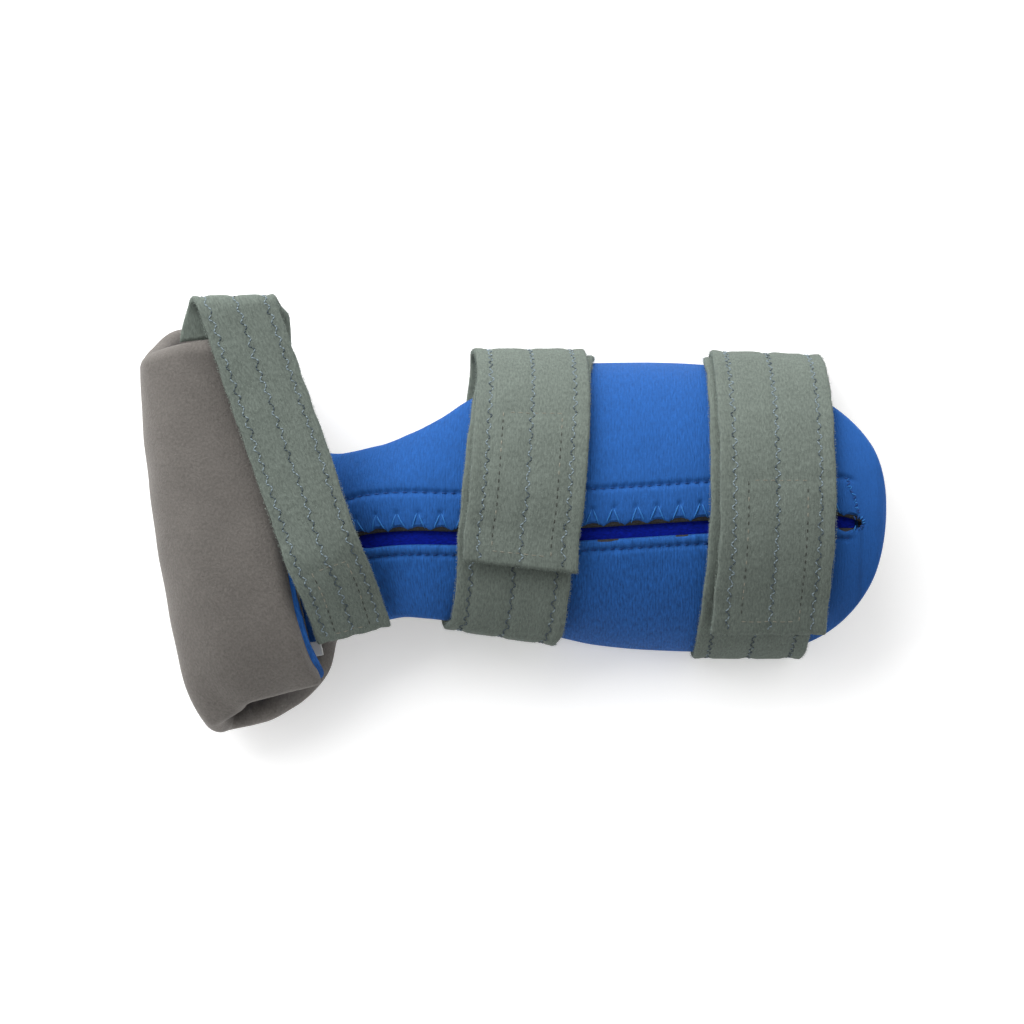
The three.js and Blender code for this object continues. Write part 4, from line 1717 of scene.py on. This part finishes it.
@dataclass
class StrapLine:
    """Middle line of a strap with its directions and width, evenly spaced."""

    middle: Array
    across: Array
    face: Array
    width: Array
    trim: float = 0.0
    spacing: float = 1.2

    def __post_init__(self) -> None:
        """Space the rows evenly and ease the corners."""
        steps = np.linalg.norm(np.diff(self.middle, axis=0), axis=1)
        walked = np.concatenate([[0.0], np.cumsum(steps)])
        self.length = float(walked[-1]) - self.trim
        self.distance = np.linspace(0, self.length, max(2, round(self.length / self.spacing)))
        for name in ("middle", "across", "face"):
            setattr(self, name, between(self.distance, walked, getattr(self, name)))
        self.width = np.interp(self.distance, walked, self.width)
        for _ in range(3):
            self.face[1:-1] = (self.face[:-2] + 2 * self.face[1:-1] + self.face[2:]) / 4
        self.face, self.across = unit(self.face), unit(self.across)

    def at(self, distance: Array) -> tuple[Array, Array, Array, Array]:
        """Middle, width direction, face direction and width at distances along the strap.

        Args:
            distance: Distances from the strap's start.

        Returns:
            Three arrays of vectors, and the widths.
        """
        columns = (self.middle, self.across, self.face)
        middle, across, face = (between(distance, self.distance, column) for column in columns)
        return middle, unit(across), unit(face), np.interp(distance, self.distance, self.width)


@dataclass
class Patch:
    """Hook patch sewn under the end of a strap: its rows of straight stitches."""

    rows: tuple[float, float]
    start: float
    end: float
    pitch: float = 2.6


@dataclass
class Strap:
    """Loop strap with three rows of zigzag stitches and the sewn patch under its end."""

    name: str
    node: str
    line: StrapLine
    patch: Patch
    seed: int
    thick: float = 2.2
    edge: float = 0.9
    face_points: int = 29
    row_share: float = 0.37
    uneven: float = 0.12
    row_dent: Dent = Dent(0.6, 1.5)
    patch_dent: Dent = Dent(0.18, 0.8)
    step_dent: Dent = Dent(0.25, 1.6)
    swing: float = 0.8
    period: float = 4.0
    lower: float = 0.0
    tail: float = 0.0
    tail_length: float = 4.4
    tail_side: tuple[float, float] = (4.0, 9.0)
    edge_uneven: float = 0.25
    row_inset: float = 1.5
    jitter: float = 0.17
    lift: float = 2.3
    lift_length: float = 14.0
    face_nap: float = 18.0
    edge_nap: float = 14.0
    nap_length: float = 0.9
    nap_radius: float = 0.04
    zigzag: StitchSpec = StitchSpec(0.24, 0.17, 0.2, 5, 5)
    straight: StitchSpec = StitchSpec(0.17, 0.14, 0.18)
    faint: StitchSpec = StitchSpec(0.13, 0.06, 0.12)

    def __post_init__(self) -> None:
        """Let the end stand off a little."""
        rise = self.lift * ease(self.line.distance, self.line.length - self.lift_length, self.line.length)
        self.line.middle = self.line.middle + self.line.face * rise[:, None]

    def rows(self, width: Array | float) -> tuple[Array | float, ...]:
        """Distances of the zigzag rows from the middle of the strap."""
        return (-self.row_share * width, 0.0 * width, self.row_share * width)

    def dents(self, distance: Array, sideways: Array, width: Array) -> Array:
        """Height of the face, dented by the rows of stitches and a little uneven.

        Args:
            distance: Distances from the strap's start.
            sideways: Distances from its middle.
            width: Width of the strap there.

        Returns:
            Height over the plain face in millimetres.
        """
        start = self.line.length - self.patch.start
        shape = self.uneven * ripple(distance, sideways, 16, self.seed) - self.step_dent.at(distance - start)
        for row in self.rows(width):
            shape = shape - self.row_dent.at(sideways - row)
        for row in self.patch.rows:
            shape = shape - ease(distance, start, start + 2) * self.patch_dent.at(sideways - row)
        return shape

    def build(self, wardrobe: Wardrobe) -> Piece:
        """Make the strap as one closed body.

        Args:
            wardrobe: Materials of the scene.

        Returns:
            The new object.
        """
        line, face = self.line, self.thick / 2
        distance, width = line.distance[:, None], line.width[:, None]
        half = width / 2 + self.edge_uneven * ripple(distance, 0 * distance, 22, self.seed + 50)
        sweep = np.linspace(math.pi / 2, -math.pi / 2, 7)[None, 1:-1]
        top = (half - self.edge) * np.linspace(-1, 1, self.face_points)[None]
        right = half - self.edge * (1 - np.cos(sweep))
        side = face * np.sin(sweep) + 0 * half
        flat_x = np.concatenate([top, right, -top, -right[:, ::-1]], axis=1)
        heights = [face + self.dents(distance, top, width), side, np.full_like(top, -face), side[:, ::-1]]
        flat_y = np.concatenate(heights, axis=1)
        rings = (
            line.middle[:, None]
            + line.across[:, None] * flat_x[..., None]
            + line.face[:, None] * flat_y[..., None]
        )
        along = unit(np.gradient(line.middle, axis=0))[:, None]
        drawn = self.tail * (1 - ease(distance, 0, self.tail_length)) * ease(flat_x, *self.tail_side)
        rings = rings - along * drawn[..., None]
        uv = np.stack([np.broadcast_to(distance, flat_x.shape), flat_x], axis=-1)
        made = Builder.rings(self.name, rings, uv)
        wardrobe.dress(made, STRAP_CLOTH)
        return made

    def place(self, pairs: Array) -> tuple[Array, Array]:
        """Points and normals of the strap's face at pairs of distances along and sideways.

        Args:
            pairs: Distances along and sideways.

        Returns:
            Points and unit normals, one for each pair.
        """
        middle, across, face, width = self.line.at(pairs[:, 0])
        height = self.thick / 2 + self.dents(pairs[:, 0], pairs[:, 1], width)
        return middle + across * pairs[:, 1:] + face * height[:, None], face

    def build_stitches(self, wardrobe: Wardrobe) -> Piece:
        """Make the threads of the strap.

        Args:
            wardrobe: Materials of the scene.

        Returns:
            The new object.
        """
        finishes = (SLATE_THREAD, SHADE_SLATE_THREAD, PATCH_THREAD, HOLE_SHADE_THREAD, SHEEN_NAP_FIBRE)
        sewn = Stitches(self.name + "_stitches", finishes, self.seed)
        along = np.arange(self.row_inset, self.line.length - self.row_inset, self.period / 4)
        width = np.interp(along, self.line.distance, self.line.width)
        beat = np.array([0.0, 1.0, 0.0, -1.0])
        for number, row in enumerate(self.rows(width)):
            jitter = sewn.chance.normal(0, self.jitter, (2, len(along)))
            swing = self.swing * beat[(np.arange(len(along)) + number) % 4]
            starts, ends = joined(np.stack([along + jitter[0], row + swing + jitter[1]], axis=1))
            # On the lower layer three of four stitches take the dark copy of the slate thread, elsewhere one
            # of three: painted shade of the stitches.
            is_low = along[:-1] < self.lower
            for part, choice in ((is_low, (1, 1, 1, 0)), (~is_low, (0, 0, 1))):
                sewn.sew(starts[part], ends[part], self.place, self.zigzag, choice)
        first, last = self.line.length - self.patch.start, self.line.length - self.patch.end
        left, right = self.patch.rows
        corners = [(first, left), (last, left), (last, right), (first, right), (first, left)]
        for start, end in zip(corners[:-1], corners[1:]):
            pair = dashes(np.array(start), np.array(end), self.patch.pitch)
            lengthwise = start[1] == end[1]
            # Lengthwise patch rows mix beige thread with charcoal dashes, a painted shade of the needle
            # holes.
            spec, choice = (self.straight, (2, 3, 3)) if lengthwise else (self.faint, (2,))
            sewn.sew(*pair, self.place, spec, choice)
        self._nap(sewn)
        return sewn.build(wardrobe)

    def _nap(self, sewn: Stitches) -> None:
        """Fine fibres that stand out of the face, the edges and the cut end.

        Args:
            sewn: Stitches to add to.
        """
        line, chance = self.line, sewn.chance
        faces, edges = round(line.length * self.face_nap), round(line.length * self.edge_nap)
        ends = round(float(line.width[-1]) * self.edge_nap)
        place = chance.uniform(0, line.length, faces + edges)
        width = np.interp(place, line.distance, line.width)
        side = chance.uniform(-0.5, 0.5, len(place)) * width
        side[faces:] = np.where(chance.random(edges) < 0.5, -0.5, 0.5) * width[faces:]
        side = np.concatenate([side, chance.uniform(-0.5, 0.5, ends) * line.width[-1]])
        place = np.concatenate([place, np.full(ends, line.length)])
        is_face, is_edge, is_end = (np.repeat(kind, (faces, edges, ends))[:, None] for kind in np.eye(3))
        middle, across, face, _ = line.at(place)
        height = np.concatenate([np.ones(faces), chance.uniform(-0.8, 0.8, edges + ends)]) * self.thick / 2
        height[:faces] += self.dents(place[:faces], side[:faces], width[:faces])
        roots = middle + across * side[:, None] + face * height[:, None]
        heading = unit(np.gradient(line.middle, axis=0)[-1])
        lean = 0.7 * (chance.normal(0, 1.0, roots.shape) + 0.5 * is_face * face)
        lean = lean + 1.2 * (is_edge * np.sign(side[:, None]) * across + is_end * heading)
        reach = unit(lean) * chance.uniform(0.4, 1.0, (len(roots), 1)) * self.nap_length
        is_free = np.minimum(roots[:, 2], (roots + reach)[:, 2]) > self.nap_radius
        # The fibres take finish 4, the lighter nap cloth: a painted sheen on the fuzz.
        sewn.bristle(roots[is_free], reach[is_free], self.nap_radius, 4)


@dataclass(frozen=True)
class Turn:
    """A direction about the forearm: middle of the strap, sideways lean and layers beneath."""

    psi: float
    middle: float
    lean: float
    beneath: float


WRIST_TURNS = (
    Turn(96, 9.5, 1, 0),
    Turn(0, 2.5, 4, 0),
    Turn(-60, -3, 8.7, 0),
    Turn(-179.9, -6, 8.7, 0),
    Turn(-180.1, 4.6, 1, 0),
    Turn(-250, 4.8, 0, 1),
    Turn(-315, 7.2, 1, 1),
    Turn(-360, 4.8, 4, 1),
    Turn(-377, 2.8, 6.4, 1),
)
FOREARM_TURNS = (
    Turn(96, 85.1, 2, 0),
    Turn(0, 84.3, 0, 0),
    Turn(-60, 81.5, 0, 0),
    Turn(-179.9, 80.7, 0, 0),
    Turn(-180.1, 85, 0, 0),
    Turn(-250, 87.4, 2.5, 1),
    Turn(-360, 87.3, 0, 1),
    Turn(-409, 85.7, 0, 1),
)


@dataclass
class Winding:
    """Way of a wide strap about the forearm: on the skin, or on the layer beneath."""

    sheet: PaddedSheet
    turns: Sequence[Turn]
    trim: float
    width: float = 38.1
    thick: float = 2.2
    gap: float = 0.3
    margin: float = 8.0
    psi_step: float = 4.0
    underneath: float = -180.0

    def skin(self, middle: float) -> Array:
        """Points of the sheet's skin under the strap.

        Args:
            middle: Place of the strap's middle along the splint.

        Returns:
            Points of the skin, one row each.
        """
        reach = self.width / 2 + self.margin
        start = self.sheet.spine.tip[0] - middle - reach
        at = self.sheet.stations(np.arange(start, start + 2 * reach, 2.0), self.sheet.spine.length)
        share = np.linspace(-1, 1, 161)[None] + 0 * at.half
        flats = [self.sheet.face(at, share, at.half)]
        for sign in (-1, 1):
            flats.append(self.sheet.skin(at, sign, np.linspace(0, 1, 31)[None] * math.pi * at.half))
        return self.sheet.in_space(at, np.concatenate(flats, axis=1)).reshape(-1, 3)

    def line(self) -> StrapLine:
        """Middle line of the strap.

        Returns:
            The line from the hidden start to the free end.
        """
        rows = [(-turn.psi, turn.middle, turn.lean, turn.beneath) for turn in self.turns]
        falling = np.array(rows)
        middle_at, lean_at, beneath_at = (Track(falling[:, 0], falling[:, k]) for k in (1, 2, 3))
        under = [turn.psi for turn in self.turns if abs(turn.psi - self.underneath) < 1]
        ends = [(self.turns[0].psi, under[0]), (under[1], self.turns[-1].psi)]
        psi = np.concatenate([np.linspace(a, b, round((a - b) / self.psi_step) + 1) for a, b in ends])
        lean = np.radians(lean_at(-psi))
        zero = np.zeros_like(psi)
        across = np.stack([np.cos(lean), -np.sin(lean), zero], axis=1)
        level = np.stack([np.sin(lean), np.cos(lean), zero], axis=1)
        angle = np.radians(psi)[:, None]
        face = level * np.sin(angle) + np.array([0.0, 0.0, 1.0]) * np.cos(angle)
        skin = self.skin(float(middle_at(np.array(0.0))))
        reach = skin @ face.T
        is_under = np.abs(psi - self.underneath) < 1
        for k in np.flatnonzero(is_under):
            near = -1 if psi[k] > self.underneath else 1
            reach[skin[:, 1] * near <= 0, k] = -1e9
        lift = self.gap + self.thick / 2 + (self.thick + self.gap) * beneath_at(-psi)
        middle = skin[np.argmax(reach, axis=0)] + face * lift[:, None]
        middle = middle + across * ((middle_at(-psi) - middle[:, 0]) / across[:, 0])[:, None]
        middle[:, 2] = np.maximum(middle[:, 2], self.thick / 2)
        middle[is_under, 2] = self.thick / 2
        face[is_under] = (0.0, 0.0, -1.0)
        return StrapLine(middle, across, face, np.full(len(psi), self.width), self.trim)


@dataclass(frozen=True)
class HandRow:
    """A place on the hand strap: point, width, and turn and tilt of the width."""

    x: float
    y: float
    z: float
    width: float
    yaw: float
    bank: float


HAND_ROWS = (
    HandRow(-91.6, 59, 41.3, 37.4, 8, 3),
    HandRow(-91.6, 63.4, 41.6, 35.6, 6, 2),
    HandRow(-92, 67.8, 42.2, 31, 2, 1),
    HandRow(-92, 70.6, 45, 28, 1, 0),
    HandRow(-90.6, 68.8, 47.8, 26, 6, 0),
    HandRow(-88.2, 62, 48.6, 25.4, 15, 0),
    HandRow(-80, 38, 48.7, 25.4, 19, 0),
    HandRow(-72.2, 16, 48.8, 25.4, 19, 0),
    HandRow(-65.8, -3, 49, 25.4, 19, 0),
    HandRow(-62, -14, 48.3, 25.4, 19, -6),
    HandRow(-57.2, -26, 42, 25.4, 18, -15),
    HandRow(-53.8, -39.4, 29, 25.4, 14, -13),
)


def smooth_path(points: Array, count: int) -> Array:
    """Points on a smooth curve through points, with bends that follow their spacing.

    Args:
        points: Points that the curve passes.
        count: Number of points wanted, spread evenly over the stretches.

    Returns:
        Points on the curve.
    """
    held = np.vstack([2 * points[0] - points[1], points, 2 * points[-1] - points[-2]])
    place = np.linspace(0, len(points) - 1, count)
    row = np.minimum(place.astype(int), len(points) - 2)
    share = (place - row)[:, None]
    a, b, c, d = held[row], held[row + 1], held[row + 2], held[row + 3]
    pairs = ((a, b), (b, c), (c, d))
    first, second, third = (np.sqrt(np.linalg.norm(q - p, axis=1))[:, None] for p, q in pairs)
    leave = ((b - a) / first - (c - a) / (first + second) + (c - b) / second) * second
    arrive = ((c - b) / second - (d - b) / (second + third) + (d - c) / third) * second
    square, cube = share**2, share**3
    return (
        b + leave * share
        + (3 * (c - b) - 2 * leave - arrive) * square
        + (2 * (b - c) + leave + arrive) * cube
    )


def hand_line() -> StrapLine:
    """Middle line of the hand strap.

    Returns:
        The line from the root on the grip to the free end.
    """
    middle = smooth_path(np.array([(row.x, row.y, row.z) for row in HAND_ROWS]), 241)
    step, rows = np.linspace(0, 1, len(middle)), np.linspace(0, 1, len(HAND_ROWS))
    names = ("yaw", "bank", "width")
    yaw, bank, width = (Track(rows, [getattr(row, name) for row in HAND_ROWS])(step) for name in names)
    yaw, bank = np.radians(yaw), np.radians(bank)
    across = np.stack([np.cos(yaw) * np.cos(bank), np.sin(yaw) * np.cos(bank), np.sin(bank)], axis=1)
    return StrapLine(middle, across, unit(np.cross(np.gradient(middle, axis=0), across)), width)


@dataclass
class CareLabel:
    """Small bare white label sewn to the lip of the lining."""

    sheet: PaddedSheet
    along: float = 203.0
    share: float = -0.88
    lift: float = 1.6
    size: Point = (8.0, 5.0, 0.5)

    def build(self, wardrobe: Wardrobe) -> Piece:
        """Make the label as one closed body, a little bent.

        Args:
            wardrobe: Materials of the scene.

        Returns:
            The new object.
        """
        at = self.sheet.stations(np.array([self.along]), self.sheet.spine.length)
        share = np.full((1, 1), self.share)
        flat = self.sheet.face(at, share, np.full((1, 1), self.sheet.half + self.lift + self.size[2] / 2))
        centre = self.sheet.in_space(at, flat)[0, 0]
        normal = self.sheet.middle(at, share).normal[0, 0]
        up = at.thumbward[0] * normal[0] + at.outward[0] * normal[1]
        heading = at.heading[0]
        across = np.cross(up, heading)
        length, width, thick = self.size
        u = np.linspace(-length / 2, length / 2, 17)[:, None]
        sweep = np.linspace(0, 2 * math.pi, 25)[:-1][None]
        v = width / 2 * np.sign(np.cos(sweep)) * np.abs(np.cos(sweep)) ** 0.2
        w = thick / 2 * np.sign(np.sin(sweep)) * np.abs(np.sin(sweep)) ** 0.5
        bend = 0.25 * np.cos(math.pi * u / length) - 0.12
        points = centre + heading * u[..., None] + across * v[..., None] + up * (w + bend)[..., None]
        made = Builder.rings("blank_label", points, np.stack([u + 0 * v, v + 0 * u], axis=-1))
        wardrobe.dress(made, LABEL_CLOTH)
        return made


@dataclass(frozen=True)
class Lamp:
    """Square soft light: its place, the length of its sides, watts, the point it faces and its beam."""

    name: str
    place: Point
    size: float
    power: float
    aim: Point = (0.0, 0.0, 0.02)
    spread: float = 180.0

    def build(self) -> None:
        """Make the light."""
        lamp = bpy.data.lights.new(self.name, "AREA")
        lamp.size, lamp.energy, lamp.spread = self.size, self.power, math.radians(self.spread)
        made = bpy.data.objects.new(self.name, lamp)
        made.location = self.place
        made.rotation_euler = (Vector(self.aim) - Vector(self.place)).to_track_quat("-Z", "Y").to_euler()
        bpy.context.scene.collection.objects.link(made)


LAMPS = (
    Lamp("key", (-0.34, 0.56, 0.48), 0.8, 7.8),
    Lamp("left", (-0.7, 0.1, 0.3), 0.5, 0.7),
    Lamp("right", (0.75, 0.2, 0.25), 0.5, 0.6),
    Lamp("low", (-0.14, -0.28, 0.02), 0.03, 0.006, (-0.092, -0.068, 0.018), 30.0),
)


@dataclass
class Studio:
    """Pale floor, soft light and the camera over the splint."""

    camera_height: float = 850.0
    focal_pixels: float = 2439.0
    picture: int = 1024
    sensor: float = 36.0
    floor_size: float = 3.0
    sides: float = 1.35
    overhead: float = 1.0
    thumb_side: float = 0.52

    def build(self, wardrobe: Wardrobe) -> None:
        """Make floor, lights, world and camera.

        Args:
            wardrobe: Materials of the scene.
        """
        scene = bpy.context.scene
        scene.view_settings.view_transform = "Standard"
        side = self.floor_size / 2
        corners = [(x * side, y * side, 0.0) for x, y in ((-1, -1), (1, -1), (1, 1), (-1, 1))]
        data = bpy.data.meshes.new("floor")
        data.from_pydata(corners, [], [[0, 1, 2, 3]])
        floor = bpy.data.objects.new("floor", data)
        scene.collection.objects.link(floor)
        wardrobe.dress(floor, FLOOR_FINISH)
        scene.world = self.tent()
        for lamp in LAMPS:
            lamp.build()
        camera = bpy.data.objects.new("camera", bpy.data.cameras.new("camera"))
        camera.data.sensor_width = self.sensor
        camera.data.lens = self.sensor * self.focal_pixels / self.picture
        camera.location = (HOME[0] * MM, HOME[1] * MM, self.camera_height * MM)
        scene.collection.objects.link(camera)
        scene.camera = camera

    def tent(self) -> bpy.types.World:
        """White tent round the splint: bright at the sides, dim overhead, brightest at the thumb's side.

        Returns:
            The new world.
        """
        world = bpy.data.worlds.new("studio")
        world.use_nodes = True
        tree = world.node_tree
        source = tree.nodes.new("ShaderNodeTexCoord")
        slope = tree.nodes.new("ShaderNodeVectorMath")
        slope.operation = "DOT_PRODUCT"
        slope.inputs[1].default_value = (0.0, self.thumb_side, -self.overhead)
        level = tree.nodes.new("ShaderNodeMath")
        level.operation = "ADD"
        level.inputs[1].default_value = self.sides
        tree.links.new(source.outputs["Generated"], slope.inputs[0])
        tree.links.new(slope.outputs["Value"], level.inputs[0])
        tree.links.new(level.outputs["Value"], tree.nodes["Background"].inputs["Strength"])
        tree.nodes["Background"].inputs["Color"].default_value = WHITE
        return world


def settle(piece: Piece, slot: Slot, *nodes: str) -> Piece:
    """Tie a piece to the part's root body, hide the solids that it stands for, and log it.

    Args:
        piece: Object to tie.
        slot: Its material slot; not used.
        nodes: Names of the solids that it stands for.

    Returns:
        The same piece.
    """
    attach(piece, "root")
    if nodes:
        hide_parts(*nodes)
    report(piece)
    return piece


def main() -> None:
    """Build the splint piece by piece, then the studio."""
    logging.basicConfig(level=logging.INFO, format="%(name)s %(message)s")
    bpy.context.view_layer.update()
    wardrobe = Wardrobe()
    sheet, lines = PaddedSheet(), SlitLines()
    settle(OuterCover(sheet, lines).build(wardrobe), Slot.COVER, "outer_cover")
    settle(Lining(sheet).build(wardrobe), Slot.LINING, "lining")
    settle(HemStitches(sheet, lines).build(wardrobe), Slot.COVER)
    strip = ClosureStrip(sheet, lines)
    tape = settle(strip.build(wardrobe), Slot.STRIP, "closure_strip")
    wrist, forearm = Winding(sheet, WRIST_TURNS, 4.4).line(), Winding(sheet, FOREARM_TURNS, 4.0).line()
    straps = (
        Strap("wrist_strap", "strap_wrist", wrist, Patch((-9.6, 10.0), 52, 4.5), 21, lower=130),
        Strap("forearm_strap", "strap_forearm", forearm, Patch((-9.7, 9.7), 54, 5.5), 22, lower=140),
        Strap("hand_strap", "strap_hand", hand_line(), Patch((-6.0, 6.0), 29, 3), 23, tail=8.0),
    )
    for strap in straps:
        band = settle(strap.build(wardrobe), Slot.STRAP, strap.node)
        threads = settle(strap.build_stitches(wardrobe), Slot.STRAP)
    settle(CareLabel(sheet).build(wardrobe), Slot.LABEL, "care_label")
    Studio().build(wardrobe)


if __name__ == "__main__":
    main()
